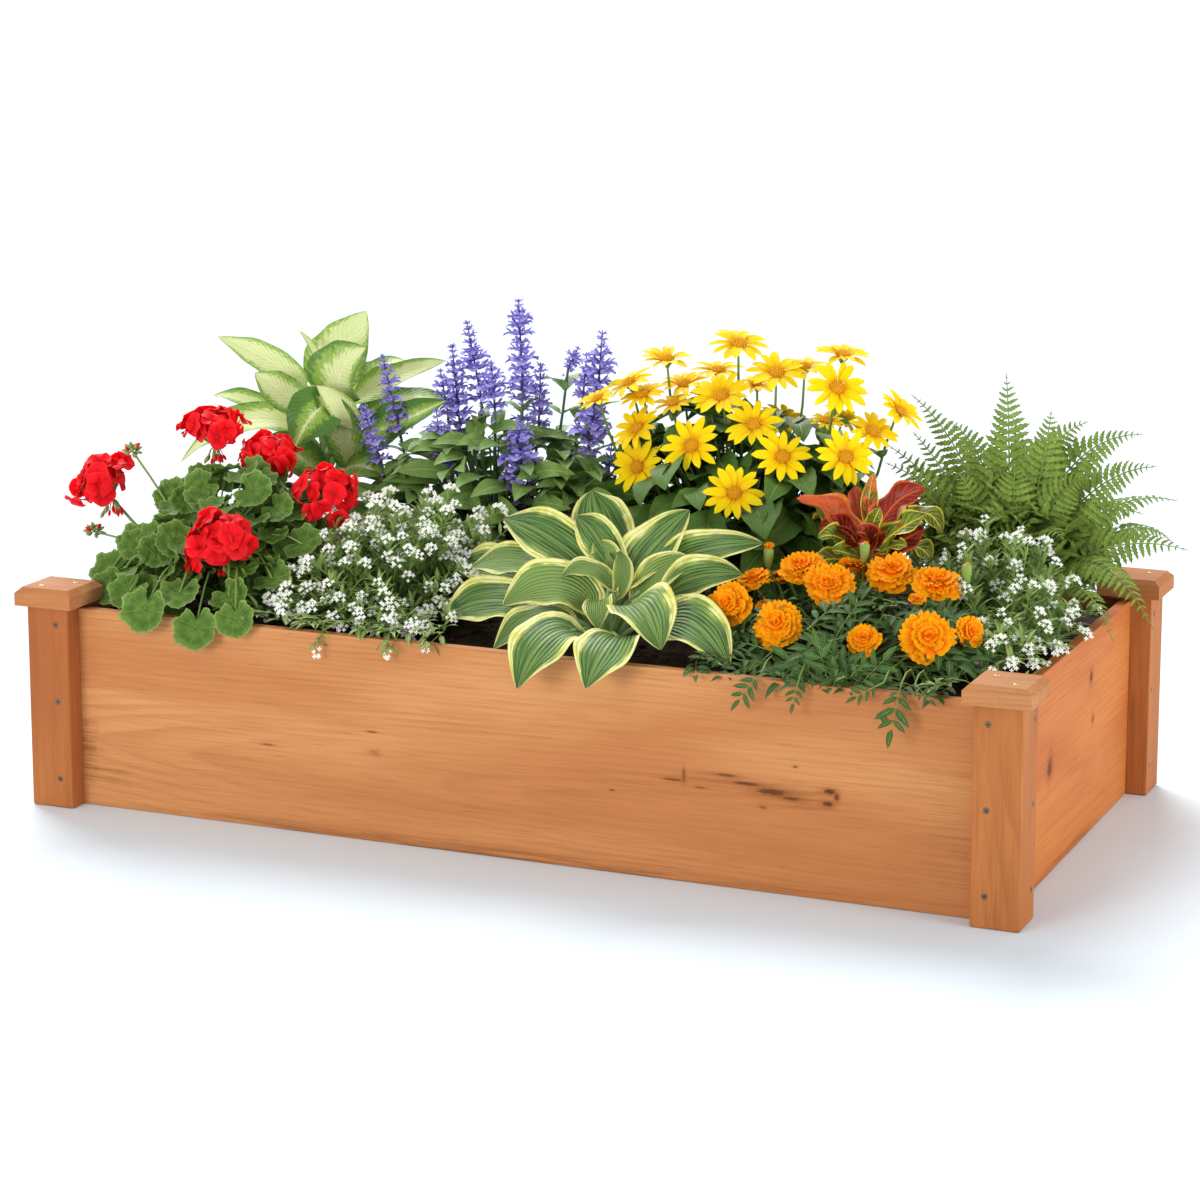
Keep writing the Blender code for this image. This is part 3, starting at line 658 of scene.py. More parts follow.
class Scatter:
    """Places for copies of one small shape, whose Y axis runs from foot to tip and whose face is +Z."""

    def __init__(self):
        self.points, self.turns, self.sizes, self.shades = [], [], [], []

    def add(self, point, along, facing, size=1.0, shade=0.5, fat=1.0):
        """size may be a length, which fat widens, or (across, along, thick)."""
        along = Vector(along).normalized()
        side = along.cross(Vector(facing)).normalized()
        turn = Matrix((side, along, side.cross(along))).transposed().to_euler()
        self.points.append(tuple(point))
        self.turns += tuple(turn)
        self.sizes += (size * fat, size, size) if isinstance(size, (int, float)) else size
        self.shades.append(shade)

    def mesh(self, name, unit, mat, seed, spread=0.25):
        base = bpy.data.meshes.new(name + "_places")
        base.from_pydata(self.points, [], [])
        for label, values in (("turn", self.turns), ("size", self.sizes), ("shade", self.shades)):
            mark(base, label, values)
        copied = link(name + "_unit", unit.mesh(name + "_unit"))
        values = {"Unit": copied, "Tone Spread": spread, "Seed": seed, "Material": mat}
        mesh = grow(name, base, SCATTER, values)
        bpy.data.objects.remove(copied, do_unlink=True)
        return mesh


class Stems:
    """Chains of points that become round stems."""

    def __init__(self):
        self.points, self.edges, self.thick, self.tones = [], [], [], []

    def add(self, path, thick, end, tone=0.5):
        """A stem through the path's points, tapering from thick to end (radii)."""
        start = len(self.points)
        for i, point in enumerate(path):
            t = i / (len(path) - 1)
            self.points.append(tuple(point))
            self.thick.append(thick * (1 - t) + end * t)
            self.tones.append(tone)
        self.edges += [(start + i, start + i + 1) for i in range(len(path) - 1)]

    def mesh(self, name, mat, steps, sides):
        base = bpy.data.meshes.new(name + "_paths")
        base.from_pydata(self.points, self.edges, [])
        mark(base, "thick", self.thick)
        mark(base, "tone", self.tones)
        return grow(name, base, STEMS, {"Steps": steps, "Sides": sides, "Material": mat})


def add_piece(name, mesh, mat, nodes, slot):
    """A finished piece of the bed: it rides with the box and stands for the CAD nodes it replaces."""
    obj = link(name, mesh)
    mesh.materials.clear()
    mesh.materials.append(mat)
    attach(obj, "root")
    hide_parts(*nodes)


class Plant:
    """One plant, whose pieces all stand for its one CAD node, with its stems and its own chance."""

    def __init__(self, node, seed=0):
        self.node, self.stems, self.rng = node, Stems(), random.Random(seed)
        self.vary = self.rng.uniform

    def drawn(self, part, sketch, mat):
        name = f"{self.node}_{part}"
        add_piece(name, sketch.mesh(name), mat, [self.node], self.node)

    def copies(self, part, places, unit, mat, seed, spread):
        name = f"{self.node}_{part}"
        add_piece(name, places.mesh(name, unit, mat, seed, spread), mat, [self.node], self.node)

    def stalks(self, mat, steps, sides):
        name = f"{self.node}_stems"
        add_piece(name, self.stems.mesh(name, mat, steps, sides), mat, [self.node], self.node)


def stray(rng, x=1.0, y=1.0, z=1.0):
    """A random vector, up to x, y and z either way."""
    return Vector((rng.uniform(-x, x), rng.uniform(-y, y), rng.uniform(-z, z)))


def bow(start, end, rise):
    """Three points from start to end, the middle one lifted."""
    start, end = Vector(start), Vector(end)
    return [start, (start + end) / 2 + UP * rise, end]


def arch(start, end, at, rise):
    """Three points from start to end, one lifted part of the way along."""
    return [start, start.lerp(end, at) + UP * rise, end]


def off_crown(point, crown):
    """How far a point lies to the right and to the back of a plant's crown."""
    return point.x - crown[0], point.y - crown[1]


def on_path(path, t):
    """The point and the stretch of the path at t, from 0 at its start to 1 at its end."""
    at = t * (len(path) - 1)
    i = min(int(at), len(path) - 2)
    return path[i].lerp(path[i + 1], at - i), i


def over_mound(centre, radii, count, rng, lowest, jitter):
    """Points spread evenly over the upper part of a rounded mass, with the outward direction."""
    centre = Vector(centre)
    for k in range(count):
        height = 1 - (1 - lowest) * (k + 0.5) / count
        ring = math.sqrt(max(0.0, 1 - height * height))
        turn = k * GOLDEN_ANGLE
        way = Vector((ring * math.cos(turn), ring * math.sin(turn), height))
        way += stray(rng) * jitter
        way.normalize()
        out = Vector([w / r for w, r in zip(way, radii)]).normalized()
        yield centre + Vector([w * r for w, r in zip(way, radii)]), out


def sprawl(out, rng, droop=0.25):
    """The direction in which a leaf on a mound grows: outwards across it, a little down."""
    side = Vector((out.x, out.y, 0))
    if side.length < 0.05:
        side = Vector((rng.uniform(-1, 1), rng.uniform(-1, 1), 0))
    side.normalize()
    side.rotate(Quaternion(UP, rng.uniform(-0.9, 0.9)))
    return (side - UP * droop * rng.uniform(0.2, 1.6)).normalized()


def covers_a_flower(point, flowers, reach, margin):
    """True where a leaf at the point would hide the face of one of the flowers, given as
    (centre, direction it faces, radius)."""
    for centre, facing, radius, *_ in flowers:
        away = point - Vector(centre)
        ahead = away.dot(Vector(facing).normalized())
        if ahead > BEHIND and away.length < reach:
            beside = math.sqrt(max(0.0, away.length ** 2 - ahead ** 2))
            if beside < radius + margin:
                return True
    return False


def leaf_hides_a_flower(foot, along, size, flowers, reach, margin):
    """The same for a whole leaf, by three points along it."""
    return any(covers_a_flower(foot + along * size * t, flowers, reach, margin) for t in (0.2, 0.6, 1.1))


# == The box: the boards, posts and caps are carried over; the screws get real heads ==
CORNERS = ("front_left", "front_right", "back_left", "back_right")
BOARD_STAIN = ((0.608, 0.272, 0.1), (0.492, 0.184, 0.06))       # each one pale, deep
POST_STAIN = ((0.479, 0.174, 0.05), (0.365, 0.109, 0.03))
SIDE_STAIN = ((0.59, 0.2, 0.048), (0.49, 0.138, 0.031))
CAP_STAIN = ((0.522, 0.248, 0.096), (0.435, 0.157, 0.052))
FRONT_FACE, BACK_FACE, LEFT_FACE, RIGHT_FACE = -0.279, 0.279, -0.584, 0.584


def on_front(*marks):
    """Knots, stain marks and bands of painted shade on the front board, each (x, z, reach along, reach across,
    strength).
    """
    return [((x, FRONT_FACE, z), *rest) for x, z, *rest in marks]


def on_right(*marks):
    """The same for the right board, each (y, z, reach along, reach across, strength)."""
    return [((RIGHT_FACE, y, z), *rest) for y, z, *rest in marks]


FRONT_KNOTS = on_front(
    (0.205, 0.1155, 0.014, 0.0016, 0.8), (0.218, 0.122, 0.0022, 0.009, 0.6),
    (0.268, 0.1275, 0.013, 0.0018, 0.75), (0.292, 0.1205, 0.018, 0.0022, 0.95),
    (0.322, 0.1145, 0.02, 0.0042, 1.0), (0.344, 0.1095, 0.012, 0.0022, 0.9),
    (0.388, 0.1225, 0.008, 0.0035, 1.0), (0.386, 0.1085, 0.007, 0.0032, 1.0),
    (0.396, 0.117, 0.0035, 0.0045, 0.85), (0.311, 0.096, 0.005, 0.002, 0.55),
    (0.348, 0.146, 0.003, 0.0012, 0.8), (0.132, 0.095, 0.0035, 0.0014, 0.7),
    (-0.167, 0.13, 0.008, 0.0012, 0.75), (-0.303, 0.1, 0.009, 0.0014, 0.6),
    (0.237, 0.11, 0.008, 0.0012, 0.6), (-0.164, 0.106, 0.008, 0.004, 0.3),
)
# The band at z 0.002 that runs the whole length is painted shade along the board's foot, where it meets the floor;
# the other entries are stain marks.
FRONT_STAINS_AND_SHADE = on_front(
    (0.345, 0.114, 0.075, 0.02, 0.55), (0.25, 0.121, 0.065, 0.012, 0.4), (-0.548, 0.07, 0.022, 0.05, 0.75),
    (-0.52, 0.04, 0.05, 0.022, 0.45), (-0.556, 0.156, 0.022, 0.01, 0.45), (0.0, 0.002, 0.64, 0.013, 0.75),
    (0.54, 0.09, 0.05, 0.11, 0.22),
)
RIGHT_KNOTS = on_right((-0.102, 0.124, 0.011, 0.0125, 0.85), (0.071, 0.188, 0.007, 0.0085, 0.9),
                       (0.083, 0.135, 0.006, 0.0065, 0.6))
# The first entry, a band along the board's foot, is painted shade where it meets the floor; the second is a stain
# mark.
RIGHT_STAINS_AND_SHADE = on_right((0.0, 0.002, 0.28, 0.012, 0.6), (-0.098, 0.14, 0.012, 0.022, 0.4))
BACK_KNOTS = (((-0.22, BACK_FACE, 0.165), 0.014, 0.01, 0.8), ((0.34, BACK_FACE, 0.07), 0.012, 0.008, 0.7))
LEFT_KNOTS = (((LEFT_FACE, 0.11, 0.15), 0.012, 0.009, 0.8),)
CAP_STAINS = (((0.586, -0.302, 0.254), 0.004, 0.016, 0.75), ((0.606, -0.232, 0.252), 0.01, 0.009, 0.5),
              ((0.62, -0.275, 0.27), 0.07, 0.04, 0.4))
BOARDS = (      # side, stain, way of the grain, a point on the pith, ring spacing, lean, knots, stain marks and bands of painted shade
    ("front", BOARD_STAIN, "X", (0.1, -0.235, 0.085), 0.0066, 0.05, FRONT_KNOTS, FRONT_STAINS_AND_SHADE),
    ("back", BOARD_STAIN, "X", (0.0, 0.24, 0.15), 0.0062, -0.05, BACK_KNOTS, ()),
    ("right", SIDE_STAIN, "Y", (0.53, 0.05, 0.06), 0.007, 0.02, RIGHT_KNOTS, RIGHT_STAINS_AND_SHADE),
    ("left", BOARD_STAIN, "Y", (-0.54, 0.0, 0.13), 0.0066, 0.1, LEFT_KNOTS, ()),
)


def coat(node, stain, *wood):
    """Give a part that is carried over its own stained wood."""
    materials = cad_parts[node].data.materials
    materials.clear()
    materials.append(stained_wood(f"{node}_wood", *stain, *wood))


def finish_box():
    for side, stain, *wood in BOARDS:
        coat(f"{side}_board", stain, *wood)
    for corner in CORNERS:
        low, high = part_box(f"{corner}_post")
        x, y = (low.x + high.x) / 2, (low.y + high.y) / 2
        coat(f"{corner}_post", POST_STAIN, "Z", (x + 0.045, y + 0.06, 0.08 + 0.1 * y), 0.006, 0.1)
        stains_and_shade = CAP_STAINS if corner == "front_right" else ()
        coat(f"{corner}_cap", CAP_STAIN, "X", (x, y - 0.02, 0.21), 0.0058, 0.2, (), stains_and_shade)


HEAD_RADIUS = 0.0036


def screw_head():
    """A flat countersunk head, its face at the origin and looking along +Z."""
    profile = ((-0.7 * HEAD_RADIUS, 0.45), (-0.1 * HEAD_RADIUS, 1.0), (0.02 * HEAD_RADIUS, 0.94),
               (0.03 * HEAD_RADIUS, 0.62))
    return Sketch().turned(rings(ORIGIN, UP, profile, wide=HEAD_RADIUS * 0.98), sides=24, tone=0.6)


def screw_recess_shade():
    """Painted shade for the cross recess in the head: two flat dark slots that cross just above its face, one a
    hair above the other.
    """
    sketch = Sketch()
    long, wide, top = HEAD_RADIUS * 0.56, HEAD_RADIUS * 0.13, HEAD_RADIUS * 0.045
    for k in range(2):
        way = spoke(k * math.pi / 2)
        side = Vector((-way.y, way.x, 0))
        lift = UP * (top + k * 1e-5)
        grid = [[way * a + side * b + lift for b in (-wide, 0, wide)] for a in (-long, 0, long)]
        sketch.sheet(grid, HEAD_RADIUS * 0.03, 0.1)
    return sketch


def add_screws():
    steel = metal_finish("weathered_screw", (0.2, 0.15, 0.1), 0.5)
    brass = metal_finish("yellow_screw", (0.8, 0.6, 0.24), 0.35)
    # The near-black finish on these slots is painted shade inside the cross recesses.
    dark = metal_finish("screw_recess_shade", (0.03, 0.025, 0.02), 0.6)
    for kind, count, mat in (("board_screw", 6, steel), ("cap_screw", 2, brass)):
        names = [f"{corner}_{kind}_{n}" for corner in CORNERS for n in range(1, count + 1)]
        places, rng = Scatter(), random.Random(len(kind))
        for name in names:
            low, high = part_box(name)
            size, middle = high - low, (low + high) / 2
            axis = max(range(3), key=lambda i: size[i])
            outward = Vector((0, 0, 0))
            outward[axis] = 1.0 if axis == 2 or middle[axis] > 0 else -1.0
            across = swung(outward.orthogonal(), outward, rng.uniform(0, math.pi))
            places.add(middle + outward * (size[axis] / 2), across, outward)
        for part, unit, finish in (("heads", screw_head(), mat), ("recesses", screw_recess_shade(), dark)):
            mesh = places.mesh(f"{kind}_{part}", unit, finish, seed=1)
            add_piece(f"{kind}_{part}", mesh, finish, names, kind)


# == Soil ==
def soil_height(x, y):
    """The raked surface: low hummocks, with smaller lumps on them."""
    point = Vector((x * 7.0, y * 7.0, 0.3))
    lumps = noise.noise(point) * 0.006 + noise.noise(point * 4.1) * 0.0035
    return SOIL_TOP + 0.002 + lumps + abs(noise.noise(point * 11.0)) * 0.004


def add_soil():
    mat = soil_finish()
    low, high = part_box("soil")
    cols, rows = 120, 56
    points, uvs = [], []
    for i in range(rows + 1):
        for j in range(cols + 1):
            x = low.x + (high.x - low.x) * j / cols
            y = low.y + (high.y - low.y) * i / rows
            points.append((x, y, soil_height(x, y)))
            uvs.append((j / cols, i / rows))
    top = [[i * (cols + 1) + j for j in range(cols + 1)] for i in range(rows + 1)]
    rim = top[0][:cols] + [row[cols] for row in top[:rows]]
    rim += top[rows][:0:-1] + [row[0] for row in top[:0:-1]]
    foot = {}
    for corner in rim:
        foot[corner] = len(points)
        points.append((*points[corner][:2], 0.0))
        uvs.append(uvs[corner])
    faces = [(row[j], row[j + 1], next_row[j + 1], next_row[j])
             for row, next_row in zip(top, top[1:]) for j in range(cols)]
    faces += [(b, a, foot[a], foot[b]) for a, b in zip(rim, rim[1:] + rim[:1])]
    faces.append(tuple(foot[corner] for corner in reversed(rim)))
    sketch = Sketch()
    sketch.add(points, faces, uvs, 0.5)
    add_piece("soil_bed", sketch.mesh("soil_bed"), mat, ["soil"], "soil")

    profile = ((-0.8, 0.45), (0.0, 1.0), (0.8, 0.45))
    crumb = Sketch().turned([(Vector((0.1 * r, 0, z * 0.8)), UP, r) for z, r in profile], sides=5)
    crumbs, rng, inset = Scatter(), random.Random(41), 0.006
    for _ in range(CRUMBS):
        x, y = rng.uniform(low.x + inset, high.x - inset), rng.uniform(low.y + inset, high.y - inset)
        size = 0.0012 + 0.0042 * rng.random() ** 3
        way = stray(rng, 1, 1, 0.4)
        face = Vector((rng.uniform(-0.5, 0.5), rng.uniform(-0.5, 0.5), 1))
        crumbs.add((x, y, soil_height(x, y) + size * 0.2), way, face, size)
    add_piece("soil_crumbs", crumbs.mesh("soil_crumbs", crumb, mat, seed=2), mat, ["soil"], "soil")


# == Geranium: round scalloped leaves, red umbels on long stalks ==
GERANIUM_CROWN = Vector((-0.47, -0.115, 0.232))
GERANIUM_HEADS = (      # middle of the flowers, lean of the umbel, radius, how flat it is
    ((-0.616, -0.12, 0.36), (-0.25, -0.4, 0.8), 0.031, 0.72),
    ((-0.494, -0.06, 0.428), (0.0, -0.22, 1.0), 0.031, 0.5),
    ((-0.424, -0.05, 0.395), (0.1, -0.28, 0.95), 0.031, 0.5),
    ((-0.318, -0.088, 0.362), (0.35, -0.55, 0.75), 0.0345, 0.9),
    ((-0.402, -0.218, 0.318), (0.05, -0.7, 0.7), 0.03, 0.85),
)
GERANIUM_BUDS = ((-0.584, -0.1, 0.397), (-0.617, -0.14, 0.301))
GERANIUM_EDGE_LEAVES = (        # place, direction it grows, direction it faces, radius
    ((-0.458, -0.289, 0.25), (-0.15, -0.5, -1), (0.05, -0.9, 0.5), 0.029),
    ((-0.389, -0.291, 0.234), (0.15, -0.5, -1), (0.15, -1, 0.45), 0.027),
    ((-0.338, -0.288, 0.249), (0.3, -0.5, -1), (0.2, -1, 0.55), 0.0235),
    ((-0.423, -0.268, 0.268), (0, -1, -0.6), (0.1, -0.8, 0.7), 0.025),
    ((-0.495, -0.262, 0.262), (-0.5, -0.6, -0.5), (0, -0.8, 0.7), 0.025),
    ((-0.535, -0.235, 0.258), (-0.8, -0.4, -0.4), (-0.1, -0.8, 0.7), 0.026),
    ((-0.563, -0.195, 0.266), (-1, 0, -0.2), (-0.1, -0.8, 0.7), 0.027),
    ((-0.56, -0.14, 0.292), (-1, 0, 0), (0.0, -0.7, 0.7), 0.025),
    ((-0.366, -0.252, 0.266), (0.8, -0.5, -0.3), (0.2, -0.8, 0.7), 0.024),
    ((-0.334, -0.205, 0.28), (0.9, -0.4, -0.1), (0.3, -0.7, 0.7), 0.024),
    ((-0.322, -0.15, 0.312), (1, -0.2, 0), (0.3, -0.7, 0.7), 0.025),
    ((-0.345, -0.08, 0.35), (1, 0.2, 0.1), (0.2, -0.7, 0.7), 0.024),
    ((-0.41, -0.06, 0.376), (0.2, 0.3, 0.8), (0.1, -0.8, 0.6), 0.024),
    ((-0.53, -0.1, 0.345), (-0.6, 0.2, 0.6), (0.0, -0.7, 0.7), 0.023),
    ((-0.387, -0.11, 0.352), (0.5, -0.2, 0.5), (0.1, -0.9, 0.4), 0.024),
    ((-0.475, -0.09, 0.365), (-0.4, -0.2, 0.8), (0.1, -0.8, 0.5), 0.024),
)
GERANIUM_LAYERS = (     # centre, radii, count, smallest and largest leaf, darkest tone
    ((-0.445, -0.135, 0.262), (0.118, 0.112, 0.072), 62, 0.019, 0.026, 0.75),
    ((-0.43, -0.105, 0.31), (0.092, 0.082, 0.076), 50, 0.018, 0.025, 0.7),
    ((-0.44, -0.12, 0.272), (0.088, 0.08, 0.062), 34, 0.022, 0.028, 1.3),
)
GERANIUM_FLORETS = 20


def geranium_leaf():
    """A round leaf with seven shallow lobes, a scalloped rim and a notch at its stalk."""
    def lobe(turn, shift=0.0):
        return math.cos(7 * (turn - math.pi / 2) + shift)

    def rim(turn):
        notch = 0.72 * math.exp(-(((turn - 1.5 * math.pi) / 0.3) ** 2))
        return 0.97 + 0.05 * lobe(turn) + 0.06 * abs(math.sin(10.5 * turn)) - notch

    def height(out, turn):
        fold = 0.1 * lobe(turn, 0.5) + 0.14 * math.sin(2 * turn + 0.8)
        return 0.26 * out * out + fold * out * out - 0.12 * out

    return Sketch().disc(rim, ring_count=3, segments=42, height=height, thickness=0.02)


def geranium_floret():
    """A flower of five broad, round-ended petals that looks along +Z."""
    sketch, shape = Sketch(), outline(0.78, 0.34, 0.22)
    long, half_width = 0.0162, 0.009
    for k in range(5):
        way = spoke(FULL_TURN * (k + 0.1 * (k % 2)) / 5)
        start, tip = way * long * 0.05, way * long + UP * long * (0.05 + 0.12 * (k % 2))
        middle = (start + tip) / 2 + UP * long * 0.13
        sketch.blade(start, middle, tip, half_width, shape, rows=5, cols=5, cup=0.14, wave=0.1,
                     thickness=long * 0.03)
    return sketch


def bud():
    """A pointed bud."""
    profile = ((0.0, 0.06), (0.25, 0.19), (0.55, 0.24), (0.85, 0.14), (1.0, 0.03))
    return Sketch().turned(rings(ORIGIN, AHEAD, profile), sides=6)


def add_geranium():
    plant = Plant("geranium", 7)
    rng, vary, stems, crown = plant.rng, plant.vary, plant.stems, GERANIUM_CROWN
    red = petal_finish("geranium_petal", (0.72, 0.003, 0.006), (0.88, 0.005, 0.011), (0.92, 0.014, 0.019),
                       streak=0.04, gloss=0.6, soft=0.4, glow=(0.02, 0.003, 0.002))
    green = stem_finish("geranium_stem", (0.16, 0.3, 0.06), (0.3, 0.32, 0.1))
    leaves, florets, buds, red_buds = Scatter(), Scatter(), Scatter(), Scatter()
    for centre, radii, count, small, large, dark in GERANIUM_LAYERS:
        for point, out in over_mound(centre, radii, count, rng, lowest=-0.3, jitter=0.24):
            if point.z < 0.236 or covers_a_flower(point, GERANIUM_HEADS, reach=0.06, margin=0.004):
                continue
            loose = stray(rng) * 0.55
            facing = (out * 0.6 + UP * 0.4 + Vector((0.12, -0.45, 0)) + loose).normalized()
            size = vary(small, large)
            leaves.add(point, sprawl(out, rng), facing, size, vary(0.0, dark))
            if rng.random() < 0.7:
                stems.add(bow(crown, point - facing * 0.002, 0.012), 0.0015, 0.0011, 0.3)
    for point, along, facing, size in GERANIUM_EDGE_LEAVES:
        leaves.add(point, along, facing, size, vary(0.0, 0.35))
        stems.add(bow((point[0] * 0.5 - 0.235, -0.16, 0.275), point, 0.028), 0.0017, 0.0012, 0.3)
    plant.copies("leaves", leaves, geranium_leaf(), geranium_leaf_finish(), seed=3, spread=0.15)

    for centre, lean, radius, flat in GERANIUM_HEADS:
        centre, lean = Vector(centre), Vector(lean).normalized()
        hub = centre - lean * radius * 0.85
        bend = Vector((vary(-0.02, 0.02), vary(-0.02, 0.02), 0))
        stems.add([crown, crown.lerp(hub, 0.55) + bend, hub], 0.0026, 0.0019, 0.45)
        side = lean.orthogonal().normalized()
        for k in range(GERANIUM_FLORETS):
            tilt = math.acos(1 - 1.12 * (k + 0.5) / GERANIUM_FLORETS)
            out = swung(side, lean, k * GOLDEN_ANGLE + vary(-0.25, 0.25))
            way = lean * math.cos(tilt) + out * math.sin(tilt)
            reach = lean * (math.cos(tilt) - 0.15) * flat + out * math.sin(tilt)
            place = centre + reach * radius * vary(0.66, 1.28)
            loose = stray(rng) * 0.55
            size = vary(0.82, 1.08)
            florets.add(place, (way + loose).orthogonal(), way + loose,
                        (size, size, size * vary(0.8, 1.8)), vary(0.3, 0.62))
            stems.add([hub, hub.lerp(place, 0.5) - UP * 0.002, place - way * 0.001], 0.0009, 0.0007, 0.7)
            buds.add(hub.lerp(place, 0.55), place - hub, UP, 0.0105, vary(0.4, 1.0))
        for k in range(13):
            spread = spoke(k * GOLDEN_ANGLE * 1.7, -0.9 - 0.5 * (k % 3)).normalized()
            place = hub + spread * vary(0.01, 0.019)
            kind = red_buds if k % 3 == 0 else buds
            kind.add(place, spread - UP * 0.4, UP, vary(0.0075, 0.0115), vary(0.3, 0.9))
            stems.add(arch(hub, place, 0.6, 0.003), 0.0008, 0.0006, 0.8)
    for tip in GERANIUM_BUDS:
        tip = Vector(tip)
        stems.add(arch(crown, tip, 0.5, 0.015), 0.0018, 0.0014)
        for k in range(20):
            way = spoke(k * GOLDEN_ANGLE, 1.2 - 1.8 * k / 20).normalized()
            kind = red_buds if k in (0, 7) else buds
            kind.add(tip + way * 0.004, way, UP.cross(way) + UP * 0.1, vary(0.0085, 0.0115), 0.6)
    plant.copies("flowers", florets, geranium_floret(), red, seed=4, spread=0.15)
    plant.copies("red_buds", red_buds, bud(), red, seed=5, spread=0.2)
    plant.copies("buds", buds, bud(), green, seed=5, spread=0.2)
    plant.stalks(green, steps=6, sides=5)


# == Dieffenbachia: a cane with broad cream and green blades ==
TO_FRONT = (0.35, -0.9, 0.3)
DIEFFENBACHIA_BLADES = (    # foot, middle, tip, half width, facing, cup, tone
    ((-0.475, 0.152, 0.446), (-0.535, 0.15, 0.48), (-0.604, 0.15, 0.504), 0.0205, (0.3, -0.8, 0.5), 0.25, 0.35),
    ((-0.468, 0.168, 0.436), (-0.436, 0.176, 0.492), (-0.402, 0.18, 0.545), 0.04, TO_FRONT, 0.2, 0.3),
    ((-0.418, 0.13, 0.438), (-0.403, 0.11, 0.478), (-0.365, 0.104, 0.51), 0.044, (0.1, -0.85, 0.5), 0.18, 0.62),
    ((-0.424, 0.18, 0.424), (-0.37, 0.19, 0.458), (-0.3, 0.2, 0.484), 0.0245, (-0.1, -0.7, 0.7), 0.25, 0.42),
    ((-0.4, 0.15, 0.385), (-0.33, 0.132, 0.415), (-0.262, 0.12, 0.447), 0.0285, (-0.2, -0.8, 0.55), 0.22, 0.95),
    ((-0.418, 0.1, 0.434), (-0.425, 0.07, 0.424), (-0.438, 0.044, 0.384), 0.035, (0.3, -0.9, 0.3), 0.22, 1.0),
    ((-0.455, 0.13, 0.415), (-0.495, 0.114, 0.446), (-0.526, 0.107, 0.468), 0.024, (0.4, -0.8, 0.5), 0.25, 0.45),
    ((-0.48, 0.14, 0.395), (-0.558, 0.15, 0.423), (-0.618, 0.16, 0.424), 0.015, (0.2, -0.6, 0.8), 0.35, 0.6),
    ((-0.47, 0.13, 0.394), (-0.549, 0.11, 0.402), (-0.634, 0.1, 0.345), 0.029, (0.0, -0.6, 0.8), 0.25, 0.5),
    ((-0.4, 0.125, 0.35), (-0.404, 0.1, 0.412), (-0.436, 0.095, 0.46), 0.024, (0.5, -0.8, 0.2), 0.55, 0.62),
    ((-0.385, 0.112, 0.405), (-0.4, 0.094, 0.438), (-0.428, 0.09, 0.46), 0.017, (0.3, -0.9, 0.3), 0.45, 0.3),
    ((-0.438, 0.185, 0.42), (-0.46, 0.218, 0.47), (-0.512, 0.235, 0.496), 0.026, (0.0, -0.4, 1.0), 0.22, 0.45),
    ((-0.43, 0.19, 0.42), (-0.4, 0.23, 0.46), (-0.395, 0.275, 0.468), 0.037, (0.1, -0.2, 1.0), 0.2, 0.6),
    ((-0.47, 0.185, 0.4), (-0.51, 0.225, 0.44), (-0.545, 0.27, 0.44), 0.035, (-0.2, -0.2, 1.0), 0.2, 0.55),
    ((-0.42, 0.18, 0.39), (-0.37, 0.215, 0.425), (-0.312, 0.24, 0.42), 0.033, (0.2, -0.3, 1.0), 0.2, 0.7),
    ((-0.44, 0.12, 0.34), (-0.47, 0.085, 0.372), (-0.505, 0.062, 0.362), 0.029, (0.0, -0.8, 0.6), 0.25, 0.9),
    ((-0.425, 0.125, 0.33), (-0.375, 0.1, 0.36), (-0.33, 0.08, 0.345), 0.031, (0.2, -0.7, 0.7), 0.22, 0.95),
    ((-0.45, 0.15, 0.47), (-0.462, 0.145, 0.5), (-0.478, 0.14, 0.52), 0.005, (0.3, -0.9, 0.2), 0.7, 0.35),
)


def draw_leaves(plant, leaves, shape, mat, rows, cols, thickness, wave, waves, lobe=0.0):
    """One piece with a leaf for every row of the table."""
    sketch = Sketch()
    for foot, middle, tip, half_width, facing, cup, tone in leaves:
        sketch.blade(foot, middle, tip, half_width, shape, rows, cols, cup, wave, waves, thickness, tone,
                     Vector(facing), lobe)
    plant.drawn("leaves", sketch, mat)


def add_dieffenbachia():
    plant, base = Plant("dieffenbachia"), outline(0.6, 0.96)

    def shape(t):
        return base(t) * (1 + 0.025 * math.sin(21 * t))

    draw_leaves(plant, DIEFFENBACHIA_BLADES, shape, dieffenbachia_finish(), rows=24, cols=9,
                thickness=0.0007, wave=0.15, waves=1.6)
    cane = [(-0.455, 0.15, 0.195), (-0.45, 0.151, 0.29), (-0.446, 0.15, 0.38), (-0.44, 0.155, 0.44)]
    plant.stems.add(cane, 0.0115, 0.008, 0.3)
    for foot, *_ in DIEFFENBACHIA_BLADES:
        foot = Vector(foot)
        joint = Vector((-0.449, 0.15, min(foot.z - 0.045, 0.4)))
        bend = joint.lerp(foot, 0.55) + (foot - joint).cross(UP).cross(UP) * 0.12
        plant.stems.add([joint, bend, foot], 0.0062, 0.003, 0.6)
    cane_mat = stem_finish("dieffenbachia_cane", (0.13, 0.26, 0.06), (0.48, 0.58, 0.26), gloss=0.4)
    plant.stalks(cane_mat, steps=10, sides=10)


